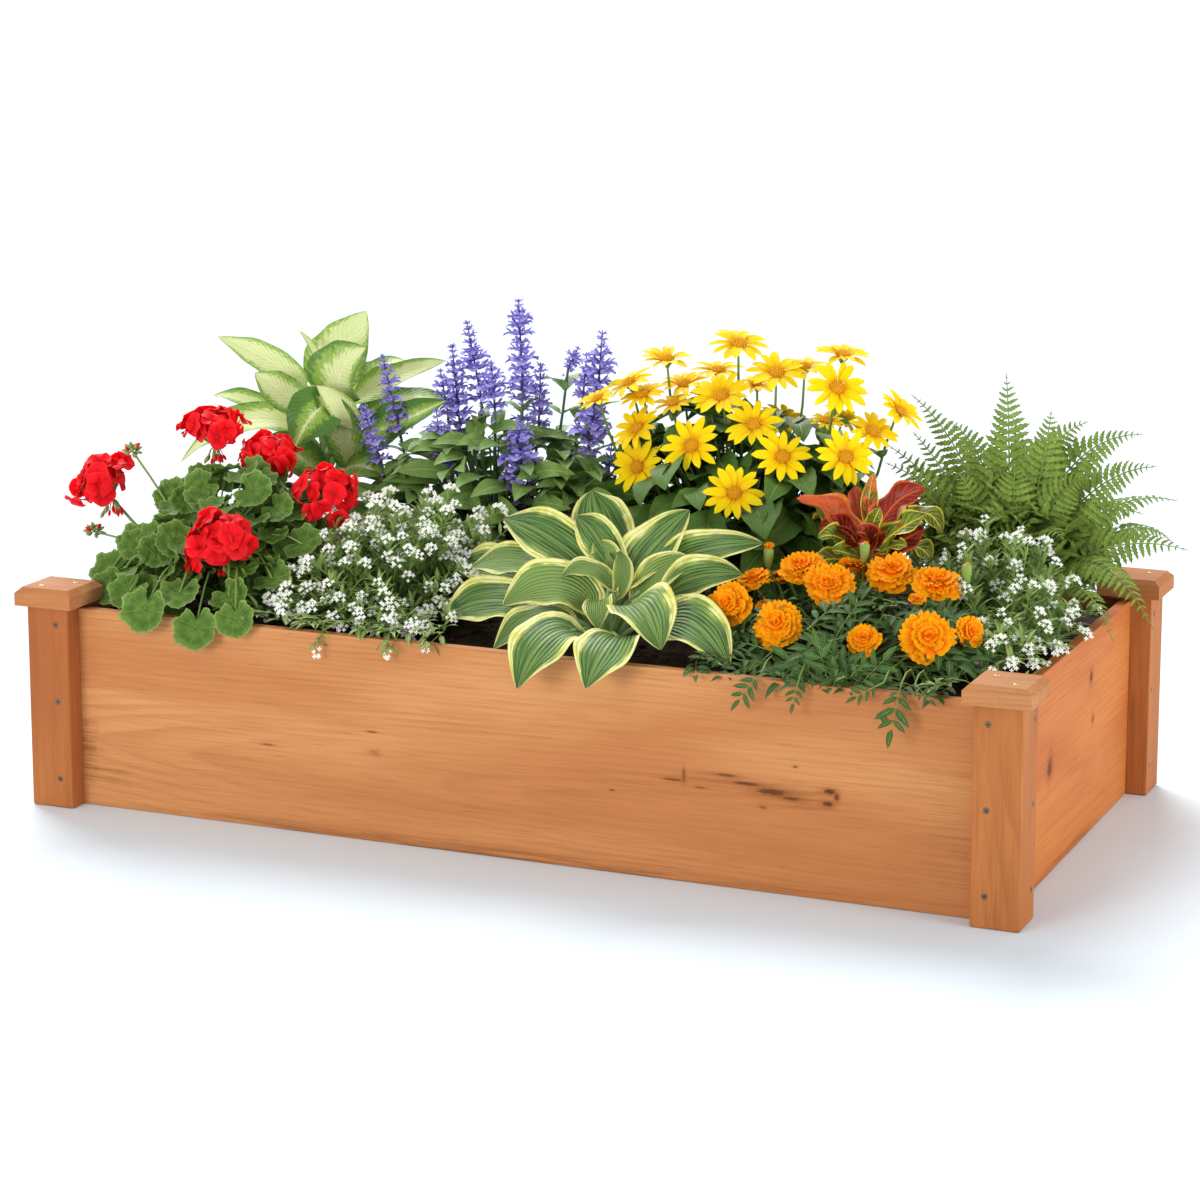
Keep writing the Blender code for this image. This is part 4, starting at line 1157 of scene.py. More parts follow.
# == Salvia: violet-blue flower spikes over lance-shaped leaves ==
SALVIA_SPIKES = (       # foot, top, radius
    ((-0.17, 0.15, 0.462), (-0.175, 0.15, 0.577), 0.0195),
    ((-0.236, 0.17, 0.443), (-0.256, 0.17, 0.542), 0.018),
    ((-0.199, 0.13, 0.44), (-0.204, 0.13, 0.501), 0.0165),
    ((-0.256, 0.15, 0.399), (-0.267, 0.15, 0.514), 0.0185),
    ((-0.332, 0.13, 0.403), (-0.356, 0.13, 0.5), 0.016),
    ((-0.339, 0.09, 0.369), (-0.364, 0.09, 0.44), 0.0165),
    ((-0.253, 0.1, 0.341), (-0.266, 0.1, 0.44), 0.018), ((-0.283, 0.17, 0.42), (-0.294, 0.17, 0.479), 0.015),
    ((-0.157, 0.17, 0.415), (-0.154, 0.17, 0.495), 0.0155),
    ((-0.147, 0.09, 0.348), (-0.147, 0.09, 0.435), 0.0235),
    ((-0.13, 0.2, 0.484), (-0.115, 0.2, 0.513), 0.01), ((-0.072, 0.16, 0.461), (-0.066, 0.16, 0.542), 0.0175),
    ((-0.105, 0.19, 0.452), (-0.1, 0.19, 0.508), 0.0145),
    ((-0.074, 0.13, 0.379), (-0.061, 0.13, 0.478), 0.021),
    ((-0.055, 0.15, 0.35), (-0.049, 0.15, 0.405), 0.014), ((-0.2, 0.215, 0.41), (-0.205, 0.225, 0.5), 0.016),
    ((-0.11, 0.225, 0.39), (-0.105, 0.238, 0.47), 0.015),
)
SALVIA_CROWN = (-0.205, 0.14, 0.225)
SALVIA_MASSES = (       # centre, radii, how many leaves
    ((-0.195, 0.125, 0.312), (0.142, 0.09, 0.1), 150), ((-0.195, 0.13, 0.275), (0.125, 0.075, 0.055), 36),
    ((-0.312, 0.085, 0.29), (0.062, 0.05, 0.075), 30), ((-0.06, 0.1, 0.3), (0.05, 0.05, 0.08), 22),
)
WHORL_SPACING, LEAF_PAIR_SPACING = 0.0092, 0.026


def salvia_floret():
    """A two-lipped floret."""
    sketch = Sketch().turned(rings(ORIGIN, AHEAD, ((0.0, 0.1), (0.36, 0.18), (0.66, 0.11))), sides=4)
    wide, narrow = outline(0.5, 0.35, 0.2), outline(0.6, 0.5, 0.2)
    sketch.blade((0, 0.48, -0.04), (0, 0.78, -0.08), (0, 1.02, -0.32), 0.36, wide, rows=4, cols=3,
                 cup=0.25, thickness=0.04)
    sketch.blade((0, 0.48, 0.08), (0, 0.72, 0.24), (0, 0.98, 0.28), 0.19, narrow, rows=3, cols=3,
                 cup=-0.5, thickness=0.04)
    return sketch


def lance_leaf(half_width, rise=0.62, fall=0.85, droop=0.1, teeth=0.0, rows=9):
    """A plain leaf, keeled along its midrib; teeth notch its edge."""
    base, sketch = outline(rise, fall, 0.03), Sketch()

    def shape(t):
        saw = (t * (rows - 1) / 2.0) % 1.0
        return base(t) * (1.0 - teeth * saw)

    sketch.blade((0, 0, 0), (0, 0.5, 0.1), (0, 1, -droop), half_width, shape, rows, cols=3, cup=0.26,
                 wave=0.14, waves=1.5, thickness=0.01)
    return sketch


def add_salvia():
    plant = Plant("salvia", 11)
    rng, vary, stems, crown = plant.rng, plant.vary, plant.stems, Vector(SALVIA_CROWN)
    leaf_mat = leaf_finish("salvia_leaf", (0.33, 0.5, 0.12), (0.065, 0.165, 0.026), (0.36, 0.5, 0.17),
                           veins=8)
    florets, leaves = Scatter(), Scatter()
    for foot, top, radius in SALVIA_SPIKES:
        foot, top = Vector(foot), Vector(top)
        right, back = off_crown(foot, SALVIA_CROWN)
        start = crown + Vector((right * 0.45, back * 0.45, -0.01))
        knee = start.lerp(foot, 0.5) + Vector((right * 0.12, 0, 0.012))
        stems.add([start, knee, foot], 0.0023, 0.0017, 0.35)
        stems.add([foot, foot.lerp(top, 0.5), top], 0.0017, 0.0007, 0.95)
        spike = top - foot
        way, length = spike.normalized(), spike.length
        whorls = max(5, int(length / WHORL_SPACING))
        for w in range(whorls):
            t = 1 - (1 - (w + 0.2) / whorls) ** 1.3
            reach = radius * (0.5 + 0.5 * math.sin(math.pi * min(1.0, 0.22 + 0.75 * t))) * (1 - 0.62 * t ** 3)
            count = 8 if t < 0.8 else 7
            wide = vary(0.72, 1.32)
            for k in range(count):
                turn = FULL_TURN * (k + 0.5 * (w % 2)) / count + vary(-0.3, 0.3)
                out = swung(way.orthogonal().normalized(), way, turn)
                size = reach * vary(0.66, 1.12) * wide
                point = foot + spike * t + out * 0.0012 + way * vary(-0.001, 0.001)
                along = out + way * vary(0.05, 0.6) * (0.5 + t)
                fat = size * (0.98 if t < 0.75 else 1.2)
                florets.add(point, along, way, (fat, size, fat), 0.08 + 0.8 * t + vary(-0.1, 0.1))
        for w in range(4):              # a few loose florets below the spike
            florets.add(foot - way * (0.005 + 0.006 * w), spoke(w * 2.4, 0.3), way, radius * 0.62, 0.15)
        nodes = max(2, int((foot.z - 0.27) / LEAF_PAIR_SPACING))
        for n in range(nodes):
            t = (n + 0.6) / (nodes + 0.6)
            point = start.lerp(knee, t * 2) if t < 0.5 else knee.lerp(foot, t * 2 - 1)
            turn = n * math.pi / 2 + vary(-0.4, 0.4)
            for side in (0.0, math.pi):
                out = spoke(turn + side, vary(0.15, 0.75))
                size = vary(0.046, 0.07) * (1.18 - 0.5 * t)
                leaves.add(point + out * 0.001, out, UP, size, vary(0.0, 0.7), 1.12)
    for centre, radii, count in SALVIA_MASSES:
        for point, out in over_mound(centre, radii, count, rng, lowest=-0.35, jitter=0.24):
            if point.z > 0.232:
                loose = stray(rng, z=0.6) * 0.35
                along = (sprawl(out, rng, 0.05) + out * 0.45).normalized()
                size = vary(0.05, 0.074)
                facing = out + Vector((0.1, -0.5, 0.45)) + loose
                leaves.add(point - along * size * 0.45, along, facing, size, vary(0.0, 0.8), 1.12)
                foot = point - along * size * 0.44
                stems.add(arch(crown, foot, 0.5, 0.01), 0.0015, 0.0012, 0.2)
    plant.copies("florets", florets, salvia_floret(), salvia_finish(), seed=6, spread=0.12)
    plant.copies("leaves", leaves, lance_leaf(0.172), leaf_mat, seed=7, spread=0.2)
    plant.stalks(stem_finish("salvia_stem", (0.1, 0.2, 0.06), (0.085, 0.05, 0.15)), steps=6, sides=5)


# == Heliopsis: yellow daisies on long stalks over dark toothed leaves ==
HELIOPSIS_HEADS = (     # centre, facing, radius
    ((0.121, 0.14, 0.539), (0.2, -0.36, 0.95), 0.04), ((0.024, 0.15, 0.512), (0.05, -0.25, 1.0), 0.036),
    ((0.076, 0.19, 0.496), (0.05, -0.2, 0.98), 0.036), ((-0.018, 0.13, 0.484), (-0.35, -0.4, 0.9), 0.035),
    ((0.038, 0.17, 0.48), (0.0, -0.32, 0.95), 0.033), ((0.004, 0.12, 0.472), (-0.15, -0.38, 0.9), 0.033),
    ((0.04, 0.13, 0.462), (-0.05, -0.35, 0.9), 0.027), ((0.177, 0.12, 0.51), (0.2, -0.45, 0.88), 0.039),
    ((0.188, 0.19, 0.507), (0.1, -0.22, 1.0), 0.035), ((0.13, 0.18, 0.484), (0.05, -0.3, 0.95), 0.028),
    ((0.247, 0.16, 0.53), (0.2, -0.15, 1.0), 0.037), ((0.258, 0.11, 0.499), (0.5, -0.65, 0.62), 0.04),
    ((0.107, 0.12, 0.478), (0.0, -0.6, 0.75), 0.039), ((0.16, 0.09, 0.451), (0.1, -0.65, 0.75), 0.038),
    ((0.231, 0.15, 0.45), (0.2, -0.3, 0.95), 0.024), ((0.299, 0.12, 0.447), (0.5, -0.38, 0.8), 0.034),
    ((0.329, 0.13, 0.472), (0.75, -0.15, 0.8), 0.034), ((0.088, 0.07, 0.423), (0.0, -0.85, 0.55), 0.04),
    ((0.005, 0.1, 0.434), (-0.25, -0.65, 0.75), 0.037), ((0.014, 0.08, 0.39), (-0.05, -0.9, 0.45), 0.037),
    ((0.204, 0.07, 0.418), (0.3, -0.75, 0.6), 0.038), ((0.279, 0.08, 0.422), (0.5, -0.8, 0.45), 0.038),
    ((0.16, 0.025, 0.379), (0.25, -0.8, 0.55), 0.038), ((-0.043, 0.09, 0.468), (-0.3, -0.45, 0.85), 0.026),
    ((0.06, 0.215, 0.455), (-0.2, 0.6, 0.8), 0.036), ((0.15, 0.225, 0.436), (0.05, 0.7, 0.7), 0.036),
    ((0.235, 0.205, 0.445), (0.4, 0.6, 0.75), 0.035),
)
HELIOPSIS_CROWN = (0.13, 0.125, 0.225)
HELIOPSIS_MASSES = (    # centre, radii, how many leaves
    ((0.13, 0.115, 0.325), (0.155, 0.1, 0.105), 150), ((0.13, 0.115, 0.29), (0.13, 0.08, 0.065), 60),
    ((0.12, 0.155, 0.39), (0.135, 0.06, 0.062), 70),
)
HELIOPSIS_BEADS, STALK_LEAVES = 46, 8


def ray():
    """A ray, bluntly pointed and grooved, a little reflexed at its tip."""
    sketch, shape = Sketch(), outline(0.44, 0.5, 0.06)
    sketch.blade((0, 0, 0), (0, 0.5, 0.06), (0, 1, -0.04), 0.17, shape, rows=7, cols=5, cup=0.2, wave=0.06)
    return sketch


def bead():
    """A small blunt cone."""
    return Sketch().turned(rings(ORIGIN, AHEAD, ((0.0, 0.34), (0.5, 0.4), (0.9, 0.24))), sides=4)


def flower_cup():
    """The green cup under a flower head, opening along +Y."""
    profile = ((-0.35, 0.22), (0.0, 0.45), (0.45, 0.85), (0.8, 1.05), (0.86, 0.9))
    return Sketch().turned(rings(ORIGIN, AHEAD, profile), sides=10)


def add_heliopsis():
    plant = Plant("heliopsis", 23)
    rng, vary, stems, crown = plant.rng, plant.vary, plant.stems, Vector(HELIOPSIS_CROWN)
    yellow = petal_finish("heliopsis_ray", (0.9, 0.42, 0.002), (1.0, 0.64, 0.002), (1.0, 0.72, 0.005),
                          streak=0.03, gloss=0.6, soft=0.2)
    middle_mat = disc_finish()
    stem_mat = stem_finish("heliopsis_stem", (0.08, 0.17, 0.025), (0.18, 0.3, 0.045))
    leaf_mat = leaf_finish("heliopsis_leaf", (0.16, 0.3, 0.042), (0.026, 0.08, 0.011), (0.17, 0.3, 0.06),
                           slant=0.7, gloss=0.5)
    rays, beads, cups, leaves, domes = Scatter(), Scatter(), Scatter(), Scatter(), Sketch()
    dome = ((-0.004, 0.55), (-0.001, 1.0), (0.0022, 0.86), (0.0038, 0.55), (0.0045, 0.2))
    for centre, facing, radius in HELIOPSIS_HEADS:
        centre, facing = Vector(centre), Vector(facing).normalized()
        side = facing.orthogonal().normalized()
        count = rng.choice((12, 13, 13, 14))
        spin = vary(0, math.pi)
        core = radius * 0.225
        rise = vary(0.0, 0.2)
        for k in range(count):
            out = swung(side, facing, spin + FULL_TURN * (k + vary(-0.22, 0.22)) / count)
            along = out + facing * (rise + vary(-0.14, 0.14))
            length = (radius - core * 0.8) * vary(0.84, 1.04)
            fat = vary(0.92, 1.22)
            rays.add(centre + out * core * 0.72 - facing * 0.0006 * (k % 3), along, facing, length,
                     vary(0.3, 0.6), fat)
        domes.turned(rings(centre, facing, dome, wide=core), sides=14, tone=0.35)
        for k in range(HELIOPSIS_BEADS):
            t = (k + 0.5) / HELIOPSIS_BEADS
            ring, out = math.sqrt(t), swung(side, facing, k * GOLDEN_ANGLE)
            place = centre + out * core * ring * 0.98 + facing * (0.0046 * (1 - 0.62 * t) - 0.0012)
            beads.add(place, facing + out * ring * 0.6, out, 0.003 * vary(0.8, 1.15), 0.3 + 0.5 * t)
        foot = centre - facing * 0.0075
        cups.add(foot, facing, side, (core * 1.05, 0.0085, core * 1.05))
        right, back = off_crown(centre, HELIOPSIS_CROWN)
        root = crown + Vector((right * 0.35, back * 0.4, 0))
        knee = root.lerp(foot, 0.62) + Vector((right * 0.06, 0.01, -0.006))
        neck = foot - (facing + UP * 0.9).normalized() * 0.022
        stems.add([root, knee, neck, foot + facing * 0.001], 0.0021, 0.0014, vary(0.2, 0.8))
        for n in range(STALK_LEAVES):
            t = 0.2 + 0.68 * n / (STALK_LEAVES - 1)
            point = root.lerp(knee, t / 0.72) if t < 0.72 else knee.lerp(neck, (t - 0.72) / 0.28)
            turn = n * 1.6 + vary(-0.4, 0.4)
            out = spoke(turn, vary(-0.1, 0.5))
            size = vary(0.044, 0.066) * (1.25 - 0.5 * t)
            middle = point + out * size * 0.6
            if point.z > 0.26 and not covers_a_flower(middle, HELIOPSIS_HEADS, reach=0.075, margin=0.016):
                leaves.add(point, out, UP + out * vary(0, 0.6), size, vary(0.1, 0.9), 1.05)
    for centre, radii, count in HELIOPSIS_MASSES:
        for point, out in over_mound(centre, radii, count, rng, lowest=-0.5, jitter=0.24):
            along = (sprawl(out, rng) + out * 0.25).normalized()
            loose = stray(rng, z=0.5) * 0.35
            size = vary(0.054, 0.082)
            foot = point - along * size * 0.45
            hides = leaf_hides_a_flower(foot, along, size, HELIOPSIS_HEADS, reach=0.075, margin=0.004)
            if point.z < 0.236 or hides:
                continue
            leaves.add(foot, along, out + UP * 0.5 + loose, size, vary(0.1, 1.0))
            if rng.random() < 0.5:
                stems.add(bow(crown, point - along * size * 0.44, 0.012), 0.0018, 0.0012, 0.4)
    plant.copies("rays", rays, ray(), yellow, seed=8, spread=0.1)
    plant.drawn("discs", domes, middle_mat)
    plant.copies("beads", beads, bead(), middle_mat, seed=9, spread=0.12)
    plant.copies("cups", cups, flower_cup(), stem_mat, seed=10, spread=0.1)
    leaf = lance_leaf(0.29, rise=0.5, fall=0.75, droop=0.14, teeth=0.1, rows=13)
    plant.copies("leaves", leaves, leaf, leaf_mat, seed=12, spread=0.15)
    plant.stalks(stem_mat, steps=8, sides=5)


# == Fern: arching fronds, each with two rows of toothed leaflets ==
FACES_FRONT, FACES_UP, FACES_RIGHT = (0.2, -0.8, 0.5), (0.0, -0.3, 1.0), (0.1, -0.9, 0.4)
FERN_FRONDS = (         # middle, tip, half width, facing, tone
    ((0.452, 0.172, 0.4), (0.445, 0.175, 0.518), 0.053, FACES_FRONT, 0.25),
    ((0.492, 0.155, 0.388), (0.508, 0.148, 0.482), 0.051, FACES_FRONT, 0.3),
    ((0.515, 0.185, 0.398), (0.606, 0.19, 0.454), 0.048, FACES_RIGHT, -0.1),
    ((0.545, 0.15, 0.375), (0.64, 0.122, 0.43), 0.047, FACES_RIGHT, -0.05),
    ((0.57, 0.135, 0.322), (0.685, 0.1, 0.34), 0.045, FACES_RIGHT, 0.7),
    ((0.565, 0.105, 0.315), (0.662, 0.04, 0.258), 0.05, FACES_UP, 0.2),
    ((0.39, 0.215, 0.385), (0.305, 0.25, 0.472), 0.043, FACES_FRONT, 0.25),
    ((0.375, 0.215, 0.34), (0.278, 0.245, 0.408), 0.048, FACES_FRONT, 1.0),
    ((0.47, 0.23, 0.38), (0.48, 0.302, 0.428), 0.048, FACES_UP, 0.5),
    ((0.41, 0.235, 0.35), (0.365, 0.302, 0.392), 0.045, FACES_UP, 0.6),
    ((0.545, 0.22, 0.345), (0.632, 0.27, 0.362), 0.045, FACES_UP, 0.45),
    ((0.44, 0.12, 0.325), (0.432, 0.08, 0.362), 0.036, FACES_UP, 0.4),
    ((0.425, 0.18, 0.385), (0.372, 0.188, 0.454), 0.045, FACES_FRONT, 0.15),
    ((0.395, 0.15, 0.335), (0.345, 0.13, 0.384), 0.044, FACES_FRONT, 0.95),
    ((0.5, 0.12, 0.335), (0.548, 0.072, 0.345), 0.043, FACES_UP, 0.25),
    ((0.54, 0.165, 0.345), (0.606, 0.205, 0.356), 0.045, FACES_RIGHT, 0.1),
    ((0.48, 0.19, 0.395), (0.535, 0.215, 0.46), 0.045, FACES_FRONT, 0.3),
    ((0.55, 0.11, 0.305), (0.612, 0.066, 0.29), 0.048, FACES_UP, 0.35),
    ((0.415, 0.135, 0.31), (0.38, 0.095, 0.318), 0.031, FACES_UP, 0.95),
    ((0.57, 0.2, 0.33), (0.636, 0.235, 0.318), 0.043, FACES_UP, 0.3),
    ((0.555, 0.08, 0.292), (0.626, 0.006, 0.246), 0.034, FACES_UP, 0.55),
    ((0.47, 0.13, 0.36), (0.478, 0.1, 0.425), 0.048, FACES_FRONT, 0.35),
    ((0.43, 0.135, 0.35), (0.41, 0.105, 0.408), 0.043, FACES_FRONT, 0.55),
    ((0.51, 0.135, 0.365), (0.565, 0.11, 0.412), 0.045, FACES_FRONT, 0.2),
    ((0.48, 0.11, 0.325), (0.5, 0.06, 0.35), 0.043, FACES_FRONT, 0.5),
    ((0.385, 0.19, 0.36), (0.325, 0.195, 0.436), 0.036, FACES_FRONT, 0.6),
    # The last fronds, with tones near 1.2, lie low in the heart of the fern; their dark tone is painted shade
    # there.
    ((0.385, 0.16, 0.35), (0.3, 0.165, 0.402), 0.048, FACES_FRONT, 1.15),
    ((0.38, 0.13, 0.325), (0.305, 0.118, 0.362), 0.048, FACES_FRONT, 1.2),
    ((0.47, 0.14, 0.33), (0.485, 0.085, 0.385), 0.057, FACES_UP, 1.2),
    ((0.44, 0.14, 0.325), (0.425, 0.09, 0.375), 0.054, FACES_UP, 1.2),
    ((0.52, 0.14, 0.325), (0.56, 0.095, 0.37), 0.054, FACES_UP, 1.2),
    ((0.46, 0.12, 0.31), (0.455, 0.06, 0.345), 0.051, FACES_UP, 1.2),
)
FERN_CROWN = Vector((0.455, 0.16, 0.232))
FERN_MASSES = (         # centre, radii, how many dark leaflets fill the heart of the fern, as painted shade there
    ((0.462, 0.165, 0.3), (0.092, 0.072, 0.092), 300), ((0.392, 0.14, 0.29), (0.05, 0.045, 0.062), 110),
)
FROND_STEPS, LEAFLET_SPACING = 58, 0.0118


def fern_leaflet():
    """A leaflet with a deeply toothed edge."""
    base, sketch = outline(0.34, 0.78, 0.03), Sketch()

    def shape(t):
        return base(t) * (1.0 if round(t * 10) % 2 == 0 else 0.62)

    sketch.blade((0, 0, 0), (0, 0.5, 0.035), (0.08, 1, -0.1), 0.172, shape, rows=11, cols=3, cup=0.3)
    return sketch


def add_fern():
    plant = Plant("fern", 31)
    rng, vary, leaflets = plant.rng, plant.vary, Scatter()
    leaf_mat = leaf_finish("fern_leaflet", (0.575, 0.775, 0.155), (0.008, 0.036, 0.001), (0.12, 0.22, 0.03),
                           veins=8, slant=0.3, gloss=0.6, shine=0.08, soft=0.0, shaded=0.55)
    for middle, tip, half_width, faces, tone in FERN_FRONDS:
        hang = 0.35 if faces == FACES_RIGHT else vary(0.0, 0.15)
        tone = 1.7 * tone - 0.05
        start = FERN_CROWN + (Vector(middle) - FERN_CROWN) * 0.04
        points, ways = bezier(start, middle, tip, FROND_STEPS)
        length = sum((b - a).length for a, b in zip(points, points[1:]))
        plant.stems.add(points[::6] + [points[-1]], 0.0018, 0.0005, tone)
        pairs = int(length / LEAFLET_SPACING)
        for n in range(pairs):
            t = 0.14 + 0.85 * (n + 0.5) / pairs
            point, i = on_path(points, t)
            way = ways[i]
            side = way.cross(Vector(faces)).normalized()
            lift = side.cross(way)
            swell = min(1.0, 0.5 + (t - 0.14) * 2.5) * min(1.0, 1.42 * (1 - t)) ** 0.9
            # Leaflets nearer a frond's foot, in the heart of the fern, get a higher, darker tone as painted shade,
            # and the tips a little paler.
            depth = 1.2 * max(0.0, 0.5 - t) - 0.12 * t
            for sign in (-1, 1):
                along = side * sign + way * (0.3 + 0.35 * t) - lift * vary(0.02, 0.22) - UP * hang
                size = max(0.003, half_width * swell * vary(0.9, 1.08))
                facing = lift + way * vary(-0.15, 0.3)
                leaflets.add(point, along, facing, size, tone + depth + vary(-0.25, 0.25), 1.1)
    # The filling leaflets in the heart of the fern get the darkest tones, as painted shade where the fronds crowd
    # together.
    shade_filling = [place for mass in FERN_MASSES for place in over_mound(*mass, rng, lowest=-0.1, jitter=0.5)]
    for point, out in shade_filling:
        loose = Vector((vary(-1, 1), vary(-1, 1), vary(-0.5, 0.8)))
        along = (out + loose).normalized()
        facing = out + UP + Vector((0, -0.4, 0))
        leaflets.add(point - along * 0.02, along, facing, vary(0.028, 0.042), vary(1.0, 1.7))
    plant.copies("leaflets", leaflets, fern_leaflet(), leaf_mat, seed=13, spread=0.1)
    plant.stalks(stem_finish("fern_stem", (0.14, 0.2, 0.03), (0.28, 0.35, 0.07)), steps=16, sides=5)


# == Croton: stiff leaves, red and orange with yellow-green young ones ==
CROTON_BLADES = (       # foot, middle, tip, half width, facing, cup, tone
    ((0.32, 0.024, 0.336), (0.292, 0.006, 0.368), (0.25, -0.008, 0.386), 0.0175, (0.35, -0.55, 0.75), 0.6, 0.46),
    ((0.322, 0.03, 0.336), (0.308, 0.045, 0.368), (0.298, 0.06, 0.392), 0.013, (0.4, -0.9, 0.2), 0.35, 0.52),
    ((0.326, 0.032, 0.336), (0.319, 0.048, 0.376), (0.321, 0.062, 0.41), 0.01, (0.5, -0.9, 0.2), 0.45, 0.3),
    ((0.334, 0.032, 0.338), (0.35, 0.05, 0.376), (0.386, 0.056, 0.396), 0.0185, (-0.25, -0.85, 0.45), 0.45, 0.62),
    ((0.338, 0.02, 0.328), (0.37, -0.002, 0.356), (0.411, -0.018, 0.382), 0.017, (-0.15, -0.7, 0.7), 0.3, 0.1),
    ((0.336, 0.016, 0.322), (0.368, 0.004, 0.34), (0.404, -0.004, 0.362), 0.02, (-0.1, -0.9, 0.4), 0.3, 0.95),
    ((0.334, 0.008, 0.344), (0.344, -0.008, 0.366), (0.353, -0.012, 0.384), 0.01, (0.2, -0.95, 0.3), 0.3, 0.15),
    ((0.314, 0.014, 0.328), (0.3, -0.012, 0.346), (0.284, -0.028, 0.346), 0.014, (0.1, -0.75, 0.7), 0.25, 0.05),
    ((0.345, 0.004, 0.326), (0.372, -0.018, 0.342), (0.392, -0.032, 0.346), 0.009, (0.0, -0.75, 0.7), 0.3, 0.12),
    ((0.35, 0.05, 0.34), (0.378, 0.072, 0.364), (0.405, 0.062, 0.344), 0.014, (0.2, -0.6, 0.8), 0.2, -0.05),
    ((0.322, 0.004, 0.32), (0.312, -0.02, 0.33), (0.303, -0.034, 0.334), 0.011, (0.1, -0.8, 0.6), 0.25, 0.15),
    ((0.318, 0.018, 0.33), (0.3, 0.002, 0.352), (0.278, -0.008, 0.352), 0.018, (0.5, -0.8, 0.4), 0.45, 0.85),
    ((0.33, 0.014, 0.328), (0.336, -0.01, 0.35), (0.33, -0.028, 0.356), 0.014, (0.3, -0.9, 0.4), 0.4, 0.92),
    ((0.326, 0.044, 0.336), (0.3, 0.074, 0.366), (0.274, 0.092, 0.372), 0.018, (0.0, -0.1, 1.0), 0.2, 0.7),
    ((0.336, 0.046, 0.334), (0.35, 0.082, 0.366), (0.372, 0.108, 0.362), 0.018, (0.0, 0.2, 1.0), 0.2, 0.45),
    ((0.312, 0.034, 0.33), (0.278, 0.04, 0.354), (0.25, 0.046, 0.35), 0.015, (0.0, -0.1, 1.0), 0.25, 0.3),
    ((0.34, 0.03, 0.32), (0.378, 0.034, 0.332), (0.402, 0.03, 0.318), 0.015, (0.0, -0.4, 1.0), 0.3, 0.0),
    ((0.322, 0.016, 0.308), (0.29, 0.0, 0.316), (0.262, -0.01, 0.302), 0.013, (0.1, -0.7, 0.7), 0.2, 0.08),
    ((0.334, 0.01, 0.31), (0.352, -0.016, 0.318), (0.366, -0.034, 0.308), 0.013, (0.2, -0.75, 0.7), 0.25, 0.98),
)


def add_croton():
    plant = Plant("croton")
    draw_leaves(plant, CROTON_BLADES, outline(0.66, 0.74), croton_finish(), rows=16, cols=9,
                thickness=0.0008, wave=0.48, waves=1.9)
    plant.stems.add([(0.318, 0.03, 0.195), (0.322, 0.028, 0.26), (0.328, 0.028, 0.345)], 0.007, 0.0035, 0.2)
    for foot, *_ in CROTON_BLADES:
        foot = Vector(foot)
        joint = Vector((0.327, 0.028, max(0.27, foot.z - 0.014)))
        plant.stems.add(arch(joint, foot, 0.5, 0.001), 0.0017, 0.0014, 0.9)
    plant.stalks(stem_finish("croton_stem", (0.16, 0.1, 0.05), (0.42, 0.2, 0.05)), steps=8, sides=8)


